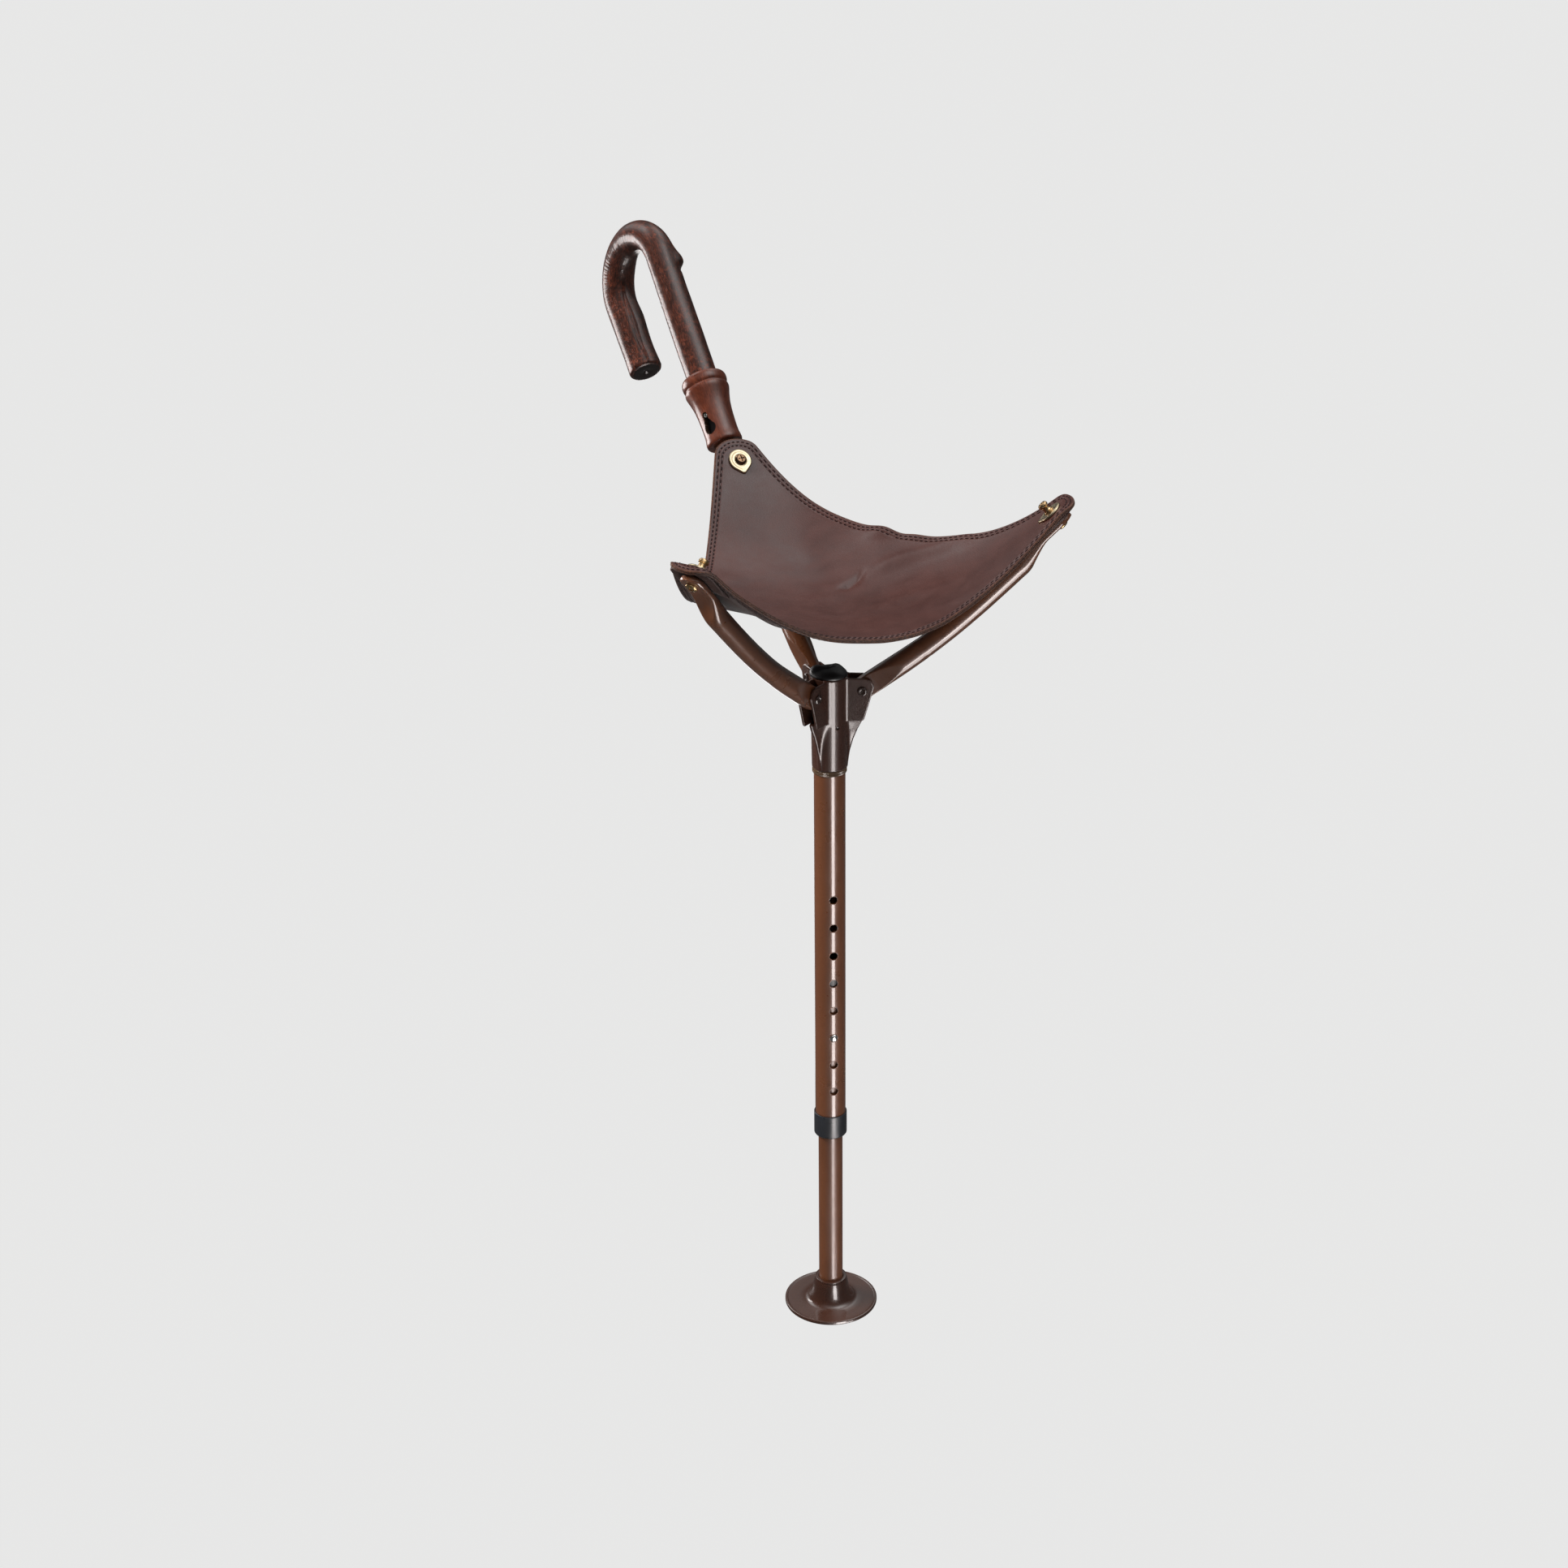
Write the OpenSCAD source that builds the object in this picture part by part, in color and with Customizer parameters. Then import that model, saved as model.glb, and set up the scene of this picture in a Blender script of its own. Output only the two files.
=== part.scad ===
// Walking stick seat: a crook-handled stick whose three bent arms open into a
// tripod that carries a leather sling. The leg telescopes and locks with a snap button.
// Millimetres. Origin at the centre of the foot plate's underside, +Z up the leg.
// Arm C points along +X, arm A (with the handle) at 120 degrees, arm B at 240 degrees.

/* [Foot] */
// Diameter of the round foot plate
foot_d = 78; // [70:1:95]
// Height of the rolled edge of the foot plate
foot_rim_h = 4; // [3:0.5:6]
// Height of the conical socket that holds the lower tube
foot_socket_h = 25; // [20:1:28]

/* [Lower tube] */
// Outside diameter of the lower tube
inner_od = 20; // [18:0.5:20]
// Wall of the lower tube
inner_wall = 1.2; // [1:0.1:1.6]
// Height of the lower tube's upper end
inner_top = 316; // [300:1:330]

/* [Upper tube] */
// Outside diameter of the upper tube
outer_od = 25; // fixed
// Wall of the upper tube
outer_wall = 1.5; // fixed
// Height of the upper tube's lower end
outer_bottom = 187; // [186:0.5:190]
// Number of height holes
hole_count = 8; // [4:1:8]
// Pitch of the height holes
hole_pitch = 25; // fixed
// Diameter of each height hole
hole_d = 7; // [7:0.1:8]
// Height of the hole that holds the button
button_z = 261.3; // fixed
// Place of that hole counted from the top
button_hole = 6; // fixed
// Direction the row of holes faces
hole_az = -73; // [-80:1:-66]

/* [Hub] */
// Height of the three arm pivots
pivot_z = 564; // fixed
// Distance of each arm pivot from the leg's axis
pivot_r = 25.7; // fixed
// Thickness of each ear of the hub
ear_t = 2; // [1.6:0.1:2.4]
// Thickness of an arm's root between its two ears
tongue_t = 9; // [8:0.5:9]

/* [Arms] */
// Outside diameter of an arm tube
arm_od = 18; // fixed
// Wall of an arm tube
arm_wall = 1.5; // [1.2:0.1:2]
// Slope of an arm at the hub
arm_a1 = 36; // fixed
// Slope of an arm at its tip
arm_a2 = 46; // fixed
// Radius of the bend between the two slopes
arm_bend = 762; // fixed
// Distance from the bend's end to the corner screw on the arm with the handle
arm_tip = 30; // fixed
// Distance from the bend's end to the corner screw on the two plain arms
low_tip = 39; // fixed

/* [Seat] */
// Height of the middle of the leather
seat_low = 634; // [628:1:640]
// Thickness of the leather sheet
seat_t = 3.2; // [2.6:0.1:3.4]
// Distance of the middle of each edge from the axis
seat_edge_r = 95; // [90:1:98]
// Extra height of the edge opposite the left arm, where the leather is cut fuller
seat_back = 19; // [15:1:30]
// How far the edge between the two plain arms sags below the others
seat_sag = 3; // [0:1:10]
// Extra width of the seat at that edge, where the leather comes to a soft point
seat_front = 19; // [0:1:20]

/* [Handle] */
// Diameter of the crook's wood
wood_d = 25.8; // [24:0.2:26]
// Inside bend radius of the crook to the centre of the wood
crook_r = 38.6; // [36:0.2:42]
// Length of the crook's free leg
crook_free = 63; // [50:1:70]
// Length of the turned collar
collar_l = 62; // fixed

/* [Hidden] */
$fn = 64;
arms = [120, 240, 0];
inner_r = inner_od / 2;
outer_r = outer_od / 2;
arm_r = arm_od / 2;
wood_r = wood_d / 2;
// unit vector along an arm's tip and its inward upward normal, in the arm's plane
sx = cos(arm_a2);
sz = sin(arm_a2);
// start of the bend
b1x = pivot_r + 30 * cos(arm_a1);
b1z = pivot_z + 30 * sin(arm_a1);
// centre of the bend
bcx = b1x - arm_bend * sin(arm_a1);
bcz = b1z + arm_bend * cos(arm_a1);
// end of the bend
b2x = bcx + arm_bend * sin(arm_a2);
b2z = bcz - arm_bend * cos(arm_a2);
// axis of each arm's corner screw, on the arm's centreline
function tip_l(az) = az == arms[0] ? arm_tip : low_tip;
function tip_x(az) = b2x + tip_l(az) * sx;
function tip_z(az) = b2z + tip_l(az) * sz;
// distance along arm A from the corner screw to the collar's lower end
collar_at = 23;
// levels above an arm's centreline at the corner
patch_lo = arm_r + 0.3;
patch_t = 3.1;
sheet_mid = 14.5;
plate_lo = sheet_mid + seat_t / 2 + 0.6;
plate_t = 1.2;
// corner of the leather's middle surface, and its rise, tangent to the arm there
function cor_r(az) = tip_x(az) - sheet_mid * sz;
function cor_h(az) = tip_z(az) + sheet_mid * sx - seat_low;
function quad_k(az) = (3 * cor_h(az) - tan(arm_a2) * cor_r(az)) / pow(cor_r(az), 2);
function cube_k(az) = (tan(arm_a2) * cor_r(az) - 2 * cor_h(az)) / pow(cor_r(az), 3);

// ---------- frames ----------
module at_arm(az) rotate([0, 0, az]) children();
// X along the arm's tip, Z out of its upper face, origin on the corner screw's axis
module at_tip(az) rotate([0, 0, az]) translate([tip_x(az), 0, tip_z(az)]) rotate([0, -arm_a2, 0]) children();
// Z along the handle from the collar's lower end, X away from the seat
module at_handle() rotate([0, 0, arms[0]])
    translate([tip_x(arms[0]) + collar_at * sx, 0, tip_z(arms[0]) + collar_at * sz])
        rotate([0, 90 - arm_a2, 0]) children();
module pipe(ro, ri, h) difference() {
    cylinder(r = ro, h = h);
    translate([0, 0, -1]) cylinder(r = ri, h = h + 2);
}
// bent rod of an arm, from 26 mm beyond the pivot to the end of the bend
module bent(r) {
    translate([pivot_r, 0, pivot_z]) rotate([0, 90 - arm_a1, 0])
        translate([0, 0, 26]) cylinder(r = r, h = 5);
    translate([bcx, 0, bcz]) rotate([90, 0, 0]) rotate([0, 0, arm_a1 - 90])
        rotate_extrude(angle = arm_a2 - arm_a1) translate([arm_bend, 0]) circle(r = r + 0.1);
}
module tip_rod(r, l) translate([b2x, 0, b2z]) rotate([0, 90 - arm_a2, 0]) translate([0, 0, -1])
    cylinder(r = r, h = l + 1);

// ---------- foot and lower leg ----------
module foot_plate() color([0.20, 0.11, 0.08]) difference() {
    rotate_extrude() {
        polygon([[0, 0], [foot_d / 2 - foot_rim_h / 2, 0], [foot_d / 2 - foot_rim_h / 2, 3],
            [21, 3], [19, 4], [17.2, 7], [16, 11], [15, 16], [14.2, 20], [13.2, foot_socket_h - 3],
            [13.2, foot_socket_h], [0, foot_socket_h]]);
        translate([foot_d / 2 - foot_rim_h / 2, foot_rim_h / 2]) circle(r = foot_rim_h / 2);
    }
    translate([0, 0, 3]) cylinder(r = inner_r + 0.02, h = foot_socket_h);
}
module inner_tube() color([0.27, 0.16, 0.12]) difference() {
    translate([0, 0, 3]) pipe(inner_r, inner_r - inner_wall, inner_top - 3);
    rotate([0, 0, hole_az]) translate([0, 0, button_z]) rotate([0, 90, 0]) cylinder(r = 3.2, h = 20);
}
module inner_guide() color([0.06, 0.06, 0.06]) translate([0, 0, inner_top - 18]) difference() {
    cylinder(r = outer_r - outer_wall - 0.05, h = 21);
    translate([0, 0, -1]) cylinder(r = inner_r + 0.02, h = 19);
}
// ball-topped button with a flange inside the lower tube
module snap_button() color([0.78, 0.79, 0.80])
    rotate([0, 0, hole_az]) translate([0, 0, button_z]) rotate([0, 90, 0]) {
        translate([0, 0, 6.4]) cylinder(r = 3.15, h = 6.4);
        translate([0, 0, 12.8]) cylinder(r1 = 3.15, r2 = 2.6, h = 0.8);
        translate([0, 0, 13.6]) cylinder(r1 = 2.6, r2 = 1.2, h = 0.6);
        translate([0, 0, 6.4]) cylinder(r = 3.8, h = 0.9);
    }
// sprung strip folded into a V inside the lower tube
module snap_spring() color([0.60, 0.61, 0.63])
    rotate([0, 0, hole_az]) translate([0, 3, button_z]) rotate([90, 0, 0]) linear_extrude(6)
        polygon([[5.5, 8], [6.3, 8], [6.3, -6], [1.2, -34], [-1.2, -34], [-7.9, -4], [-7.9, 2],
            [-7.1, 2], [-7.1, -4], [-0.6, -33], [0.6, -33], [5.5, -6]]);

// ---------- upper leg ----------
module outer_tube() color([0.25, 0.15, 0.11]) difference() {
    translate([0, 0, outer_bottom]) pipe(outer_r, outer_r - outer_wall, 560 - outer_bottom);
    for (i = [0 : hole_count - 1])
        rotate([0, 0, hole_az]) translate([0, 0, button_z + (button_hole - 1 - i) * hole_pitch])
            rotate([0, 90, 0]) cylinder(r = hole_d / 2, h = 20);
    rotate([0, 0, -60]) translate([0, 0, 535]) rotate([0, 90, 0]) cylinder(r = 1.52, h = 20);
}
module end_bush() color([0.05, 0.05, 0.05]) difference() {
    rotate_extrude() polygon([[inner_r + 0.05, 166.5], [12.7, 166.5], [13.5, 167.6], [13.5, outer_bottom],
        [outer_r - outer_wall - 0.02, outer_bottom], [outer_r - outer_wall - 0.02, outer_bottom + 17],
        [inner_r + 0.05, outer_bottom + 17]]);
}
// one channel of the hub: two ears and the wedge that closes it below
module ear_pair() {
    for (s = [-1, 1]) translate([0, s > 0 ? tongue_t / 2 + 0.4 + ear_t : -tongue_t / 2 - 0.4, 0])
        rotate([90, 0, 0]) linear_extrude(ear_t)
            polygon([[10, 574.4], [28.6, 574.4], [31.4, 573.6], [33.6, 571.6], [35.2, 567.2],
                [27.6, 540.2], [26.4, 538.4], [10, 537.6]]);
    intersection() {
        translate([0, 8, 0]) rotate([90, 0, 0]) linear_extrude(16)
            polygon([[10, 542], [26.2, 542], [26.2, 538.6], [14.6, 501], [10, 501]]);
        rotate([90, 0, 90]) linear_extrude(40)
            polygon([[-6.9, 542], [6.9, 542], [6.4, 537], [0.9, 501], [-0.9, 501], [-6.4, 537]]);
    }
}
module hub_body() color([0.22, 0.14, 0.12]) difference() {
    union() {
        translate([0, 0, 498]) cylinder(r1 = 13.3, r2 = 13.9, h = 2);
        translate([0, 0, 500]) cylinder(r1 = 13.9, r2 = 14.4, h = 26);
        translate([0, 0, 526]) cylinder(r = 14.4, h = 48.4);
        for (a = arms) at_arm(a) ear_pair();
    }
    translate([0, 0, 490]) cylinder(r = outer_r + 0.02, h = 70);
    translate([0, 0, 559]) cylinder(r = 10.4, h = 20);
    for (a = arms) at_arm(a) translate([pivot_r, 10, pivot_z]) rotate([90, 0, 0])
        cylinder(r = 3.02, h = 20);
    rotate([0, 0, -60]) translate([0, 0, 535]) rotate([0, 90, 0]) cylinder(r = 1.52, h = 20);
}
module hub_ring() color([0.30, 0.19, 0.13]) rotate_extrude() {
    polygon([[outer_r + 0.02, 493.6], [13.1, 493.6], [13.1, 498], [outer_r + 0.02, 498]]);
    translate([13.1, 494.8]) circle(r = 0.6);
    translate([13.1, 496.6]) circle(r = 0.6);
}
module hub_cap() color([0.03, 0.03, 0.03]) rotate_extrude()
    polygon([[0, 561], [10.3, 561], [10.3, 574.4], [13.8, 574.4], [13.8, 576], [12.8, 577.6],
        [10.6, 579], [7, 580.2], [3.4, 580.8], [0, 581]]);
module hub_pin() color([0.12, 0.10, 0.09]) rotate([0, 0, -60]) translate([0, 0, 535])
    rotate([0, 90, 0]) translate([0, 0, 9.8]) cylinder(r = 1.5, h = 3.8);
module pivot_pin(az) color([0.16, 0.11, 0.09]) at_arm(az) translate([pivot_r, 0, pivot_z])
    rotate([90, 0, 0]) translate([0, 0, -8.3]) rotate_extrude()
        polygon([[0, 0], [2.4, 0], [3.8, 0.7], [3.8, 1.35], [3, 1.35], [3, 15.25], [3.8, 15.25],
            [3.8, 15.9], [2.4, 16.6], [0, 16.6]]);
module pivot_pin_a() pivot_pin(arms[0]);
module pivot_pin_b() pivot_pin(arms[1]);
module pivot_pin_c() pivot_pin(arms[2]);

// ---------- arms ----------
// flattened root that turns between the ears
module arm_root() translate([pivot_r, tongue_t / 2, pivot_z]) rotate([90, 0, 0]) difference() {
    linear_extrude(tongue_t) {
        circle(r = 9.2);
        rotate([0, 0, arm_a1]) polygon([[0, -9.2], [30, -8.6], [30, 8.6], [0, 9.2]]);
    }
    translate([0, 0, -1]) cylinder(r = 3.05, h = tongue_t + 2);
}
// arm whose tube is flattened at the tip to carry a corner of the seat
module flat_arm(az) color([0.26, 0.16, 0.12]) at_arm(az) {
    arm_root();
    difference() {
        union() {
            bent(arm_r);
            tip_rod(arm_r, low_tip - 22);
        }
        bent(arm_r - arm_wall);
        tip_rod(arm_r - arm_wall, low_tip - 21.8);
    }
    translate([tip_x(az), 0, tip_z(az)]) rotate([0, -arm_a2, 0]) difference() {
        union() {
            intersection() {
                translate([-23, 0, 0]) rotate([0, 90, 0]) cylinder(r = arm_r - 0.05, h = 17);
                translate([0, 10, 0]) rotate([90, 0, 0]) linear_extrude(20)
                    polygon([[-24, -12], [-21.5, -12], [-6.2, 4.3], [-6.2, 12], [-24, 12]]);
            }
            translate([0, 0, 4]) linear_extrude(5) {
                circle(r = 10);
                polygon([[-12, -7], [0, -10], [0, 10], [-12, 7]]);
            }
        }
        cylinder(r = 2.6, h = 20);
    }
}
module arm_b() flat_arm(arms[1]);
module arm_c() flat_arm(arms[2]);
// arm A runs on past the seat into the handle's collar
module arm_a() color([0.26, 0.16, 0.12]) at_arm(arms[0]) {
    arm_root();
    difference() {
        union() {
            bent(arm_r);
            tip_rod(arm_r, arm_tip + collar_at + 44);
        }
        bent(arm_r - arm_wall);
        tip_rod(arm_r - arm_wall, arm_tip + collar_at + 45);
        translate([tip_x(arms[0]), 0, tip_z(arms[0])]) rotate([0, -arm_a2, 0]) cylinder(r = 4.02, h = 20);
        translate([b2x + (arm_tip + collar_at + 25.5) * sx, 0, b2z + (arm_tip + collar_at + 25.5) * sz])
            rotate([0, 90 - arm_a2, 0]) rotate([0, 0, 120]) rotate([0, 90, 0]) cylinder(r = 2.02, h = 20);
    }
}
// stud in arm A's tube that rides in the collar's keyhole
module slide_pin() color([0.72, 0.70, 0.66]) at_handle() translate([0, 0, 25.5]) rotate([0, 0, 120])
    rotate([0, 90, 0]) {
        translate([0, 0, 6.2]) cylinder(r = 2, h = 7.2);
        translate([0, 0, 6.2]) cylinder(r = 3.2, h = 0.7);
    }

// ---------- seat corners ----------
module patch(az) color([0.36, 0.22, 0.15]) at_tip(az) difference() {
    translate([0, 0, patch_lo]) linear_extrude(patch_t) {
        translate([6, 0]) circle(r = 15);
        polygon([[-26, -15], [6, -15], [6, 15], [-26, 15]]);
    }
    cylinder(r = 2.9, h = 20);
}
module corner_patch_a() patch(arms[0]);
module corner_patch_b() patch(arms[1]);
module corner_patch_c() patch(arms[2]);
// pressed brass plate with one pointed end towards the middle of the seat
module plate(az) color([0.80, 0.66, 0.36]) at_tip(az) difference() {
    translate([0, 0, plate_lo]) linear_extrude(plate_t) {
        circle(r = 9.6);
        polygon([[-13.2, 0], [-5, -6.6], [0, 0], [-5, 6.6]]);
    }
    cylinder(r = 2.6, h = 20 + plate_lo);
}
module corner_plate_a() plate(arms[0]);
module corner_plate_b() plate(arms[1]);
module corner_plate_c() plate(arms[2]);
// cross-head screw that holds the leather to arm A
module corner_screw_a() color([0.70, 0.55, 0.28]) at_tip(arms[0]) difference() {
    rotate_extrude() polygon([[0, 4.8], [2.4, 4.8], [2.4, plate_lo + plate_t], [5, plate_lo + plate_t],
        [5, plate_lo + plate_t + 1.4], [3.6, plate_lo + plate_t + 2.7], [0, plate_lo + plate_t + 3.1]]);
    for (a = [0, 90]) rotate([0, 0, a]) translate([-2.6, -0.5, plate_lo + plate_t + 1.6]) cube([5.2, 1, 3]);
}
module corner_insert_a() color([0.62, 0.60, 0.56]) at_tip(arms[0]) difference() {
    translate([0, 0, 3.4]) cylinder(r = 4, h = arm_r - 3.5);
    cylinder(r = 2.42, h = 20);
}
// screw from below through the flattened tip, leather and plate into the stud
module low_screw(az) color([0.78, 0.60, 0.30]) at_tip(az) difference() {
    rotate_extrude() polygon([[0, 1.4], [3.4, 1.7], [4.7, 2.7], [4.7, 4], [2.4, 4],
        [2.4, plate_lo + plate_t + 3], [0, plate_lo + plate_t + 3]]);
    for (a = [0, 90]) rotate([0, 0, a]) translate([-2.8, -0.5, 0]) cube([5.6, 1, 2.6]);
}
module corner_screw_b() low_screw(arms[1]);
module corner_screw_c() low_screw(arms[2]);
// waisted brass stud
module stud(az) color([0.82, 0.64, 0.32]) at_tip(az) translate([0, 0, plate_lo + plate_t])
    rotate_extrude() polygon([[2.42, 0], [4.2, 0], [4.2, 0.9], [3.1, 1.8], [2.9, 4.6], [3.9, 5.6],
        [3.9, 7.2], [3.0, 8.2], [0, 8.4], [0, 3.2], [2.42, 3.2]]);
module stud_b() stud(arms[1]);
module stud_c() stud(arms[2]);

// ---------- leather ----------
function wrap(d) = d > 180 ? d - 360 : d < -180 ? d + 360 : d;
function hump(d) = abs(wrap(d)) < 60 ? (1 + cos(3 * wrap(d))) / 2 : 0;
// height of the sling's middle surface: a saddle that rises to the three corners
function sheet_z(x, y) = let (r = norm([x, y]), p = (r == 0) ? 0 : atan2(y, x), w = hump(p - arms[0]),
        q = quad_k(arms[1]) + (quad_k(arms[0]) - quad_k(arms[1])) * w,
        c = cube_k(arms[1]) + (cube_k(arms[0]) - cube_k(arms[1])) * w)
    seat_low + q * r * r + c * r * r * r * cos(3 * p)
        + pow(r / seat_edge_r, 2) * (seat_back * hump(p - 60) - seat_sag * hump(p - 300));
function unit(v) = v / norm(v);
function sheet_n(x, y) = unit([sheet_z(x - 0.5, y) - sheet_z(x + 0.5, y),
    sheet_z(x, y - 0.5) - sheet_z(x, y + 0.5), 1]);
lobe_a = 66;
// length in plan of a corner's rounded end, shorter beside the collar
function lobe_l(az) = az == arms[0] ? 12.5 : 13.6;
function lobe_x(az) = cor_r(az) + 4.1 * sx;
ey = 19.5 * sin(lobe_a);
function bez(a, b, c, d, t) = pow(1 - t, 3) * a + 3 * t * pow(1 - t, 2) * b + 3 * t * t * (1 - t) * c + pow(t, 3) * d;
// middle of each edge: its distance from the axis, its turn from the edge's own direction, and its sharpness
function mid_r(e) = e == 60 ? seat_edge_r : e == 180 ? seat_edge_r + 4 : seat_edge_r + seat_front;
function mid_a(e) = e == 300 ? 8 : 0;
function mid_h(e) = e == 300 ? 20 : 40;
// half the outline of one corner in plan, from its outermost point to the middle of the edge on side s
function half(az, s) = let (ex = lobe_x(az) + lobe_l(az) * cos(lobe_a), e = (az + 60 * s + 360) % 360,
        mx = mid_r(e) * cos(60 + s * mid_a(e)), my = mid_r(e) * sin(60 + s * mid_a(e)), mh = mid_h(e)) concat(
    [for (i = [1 : 6]) [lobe_x(az) + lobe_l(az) * cos(lobe_a * i / 6), 19.5 * sin(lobe_a * i / 6)]],
    [for (i = [1 : 9]) let (t = i / 9) [bez(ex, ex - 0.866 * 40, mx + 0.866 * mh, mx, t),
        bez(ey, ey + 0.5 * 40, my - 0.5 * mh, my, t)]]);
function turn(p, a) = [p[0] * cos(a) - p[1] * sin(a), p[0] * sin(a) + p[1] * cos(a)];
outline = [for (a = [0, 120, 240]) let (h = half(a, 1), g = half(a, -1), hn = len(h)) each concat(
    [for (i = [hn - 2 : -1 : 0]) turn([g[i][0], -g[i][1]], a)],
    [turn([lobe_x(a) + lobe_l(a), 0], a)],
    [for (i = [0 : hn - 1]) turn(h[i], a)])];
on = len(outline);
rings = 12;
function sheet_p(k, i, side) = let (s = k / rings, x = outline[i][0] * s, y = outline[i][1] * s)
    [x, y, sheet_z(x, y)] + side * seat_t / 2 * sheet_n(x, y);
function sheet_ring(side) = concat([[0, 0, seat_low + side * seat_t / 2]],
    [for (k = [1 : rings]) for (i = [0 : on - 1]) sheet_p(k, i, side)]);
function si(k, i) = 1 + (k - 1) * on + i % on;
half_n = 1 + rings * on;
sheet_faces = concat(
    [for (i = [0 : on - 1]) [0, si(1, i + 1), si(1, i)]],
    [for (k = [1 : rings - 1]) for (i = [0 : on - 1]) each
        [[si(k, i), si(k, i + 1), si(k + 1, i)], [si(k, i + 1), si(k + 1, i + 1), si(k + 1, i)]]],
    [for (i = [0 : on - 1]) [half_n, half_n + si(1, i), half_n + si(1, i + 1)]],
    [for (k = [1 : rings - 1]) for (i = [0 : on - 1]) each
        [[half_n + si(k, i), half_n + si(k + 1, i), half_n + si(k, i + 1)],
         [half_n + si(k, i + 1), half_n + si(k + 1, i), half_n + si(k + 1, i + 1)]]],
    [for (i = [0 : on - 1]) each
        [[si(rings, i), si(rings, i + 1), half_n + si(rings, i)],
         [si(rings, i + 1), half_n + si(rings, i + 1), half_n + si(rings, i)]]]);
module leather_seat() color([0.33, 0.19, 0.16]) difference() {
    polyhedron(points = concat(sheet_ring(1), sheet_ring(-1)), faces = sheet_faces, convexity = 6);
    for (a = arms) at_tip(a) cylinder(r = 3, h = 30);
}

// ---------- handle ----------
module crook_handle() color([0.24, 0.10, 0.07]) at_handle() rotate([0, 0, 10.8]) {
    translate([0, 0, 48]) cylinder(r = wood_r, h = 128.6);
    translate([0, 0, 171]) cylinder(r = 6, h = 11);
    translate([crook_r, 0, 176.6]) rotate([90, 0, 0]) mirror([1, 0, 0])
        rotate_extrude(angle = 184) translate([crook_r, 0]) circle(r = wood_r);
    translate([crook_r, 0, 176.6]) rotate([0, 4, 0]) translate([crook_r, 0, 0]) mirror([0, 0, 1]) difference() {
        union() {
            cylinder(r1 = wood_r, r2 = wood_r + 1.5, h = crook_free - 3);
            translate([0, 0, -5]) cylinder(r = 6, h = 11);
            translate([0, 0, crook_free - 3]) cylinder(r1 = wood_r + 1.5, r2 = wood_r - 1.5, h = 3);
        }
        translate([0, 0, crook_free - 1.2]) cylinder(r1 = 1.5, r2 = 3, h = 2);
    }
}
module collar() color([0.32, 0.12, 0.08]) at_handle() difference() {
    rotate_extrude() polygon([[arm_r + 0.05, 0], [13.8, 0], [14.8, 1.6], [14.9, 4], [14.3, 7], [14, 11],
        [14.1, 22], [14.5, 29], [15.1, 35], [16.2, 40.5], [17.6, 45], [18.4, 48], [18.4, 50],
        [17.7, 51.4], [17.5, 52.6], [18.3, 54], [18.75, 56.5], [18.6, 59], [17.6, 61.2], [16, collar_l],
        [wood_r + 0.02, collar_l], [wood_r + 0.02, 48], [arm_r + 0.05, 48]]);
    rotate([0, 0, 120]) rotate([0, 90, 0]) linear_extrude(20) {
        translate([-14.2, 0]) circle(r = 4.8);
        translate([-18.6, 0]) circle(r = 3.6);
        translate([-25.5, 0]) circle(r = 2.4);
        translate([-25.5, -2.35]) square([10, 4.7]);
    }
}

foot_plate();
inner_tube();
inner_guide();
snap_button();
snap_spring();
outer_tube();
end_bush();
hub_body();
hub_ring();
hub_cap();
hub_pin();
pivot_pin_a();
pivot_pin_b();
pivot_pin_c();
arm_a();
arm_b();
arm_c();
slide_pin();
corner_patch_a();
corner_patch_b();
corner_patch_c();
corner_plate_a();
corner_plate_b();
corner_plate_c();
corner_screw_a();
corner_insert_a();
corner_screw_b();
corner_screw_c();
stud_b();
stud_c();
leather_seat();
crook_handle();
collar();
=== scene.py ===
import math
import bpy
import bmesh
import numpy as np
from mathutils import Matrix, Vector, noise


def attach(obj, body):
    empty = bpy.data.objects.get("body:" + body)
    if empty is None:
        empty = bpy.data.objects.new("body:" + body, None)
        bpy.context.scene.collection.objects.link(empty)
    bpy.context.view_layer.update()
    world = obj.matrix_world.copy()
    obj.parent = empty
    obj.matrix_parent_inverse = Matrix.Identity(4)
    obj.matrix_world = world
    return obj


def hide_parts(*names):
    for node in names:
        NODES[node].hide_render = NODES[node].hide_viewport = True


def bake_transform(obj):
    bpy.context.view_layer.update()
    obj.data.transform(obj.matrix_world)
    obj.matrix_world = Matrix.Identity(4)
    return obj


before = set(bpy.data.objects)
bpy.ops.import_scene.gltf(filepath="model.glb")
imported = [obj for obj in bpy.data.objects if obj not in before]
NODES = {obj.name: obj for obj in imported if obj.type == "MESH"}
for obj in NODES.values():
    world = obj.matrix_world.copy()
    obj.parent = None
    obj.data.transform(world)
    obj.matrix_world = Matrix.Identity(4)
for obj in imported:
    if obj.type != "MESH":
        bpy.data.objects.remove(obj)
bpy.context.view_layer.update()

rad = math.radians
MM = 0.001


# ------------------------------------------------------------------ frames (millimetres)
def rot(axis, deg):
    c, s = math.cos(rad(deg)), math.sin(rad(deg))
    m = np.eye(4)
    i, j = {"x": (1, 2), "y": (2, 0), "z": (0, 1)}[axis]
    m[i, i] = m[j, j] = c
    m[i, j] = -s
    m[j, i] = s
    return m


def move(x, y, z):
    m = np.eye(4)
    m[:3, 3] = (x, y, z)
    return m


def put(points, m):
    points = np.asarray(points, float)
    return points @ m[:3, :3].T + m[:3, 3]


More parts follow.
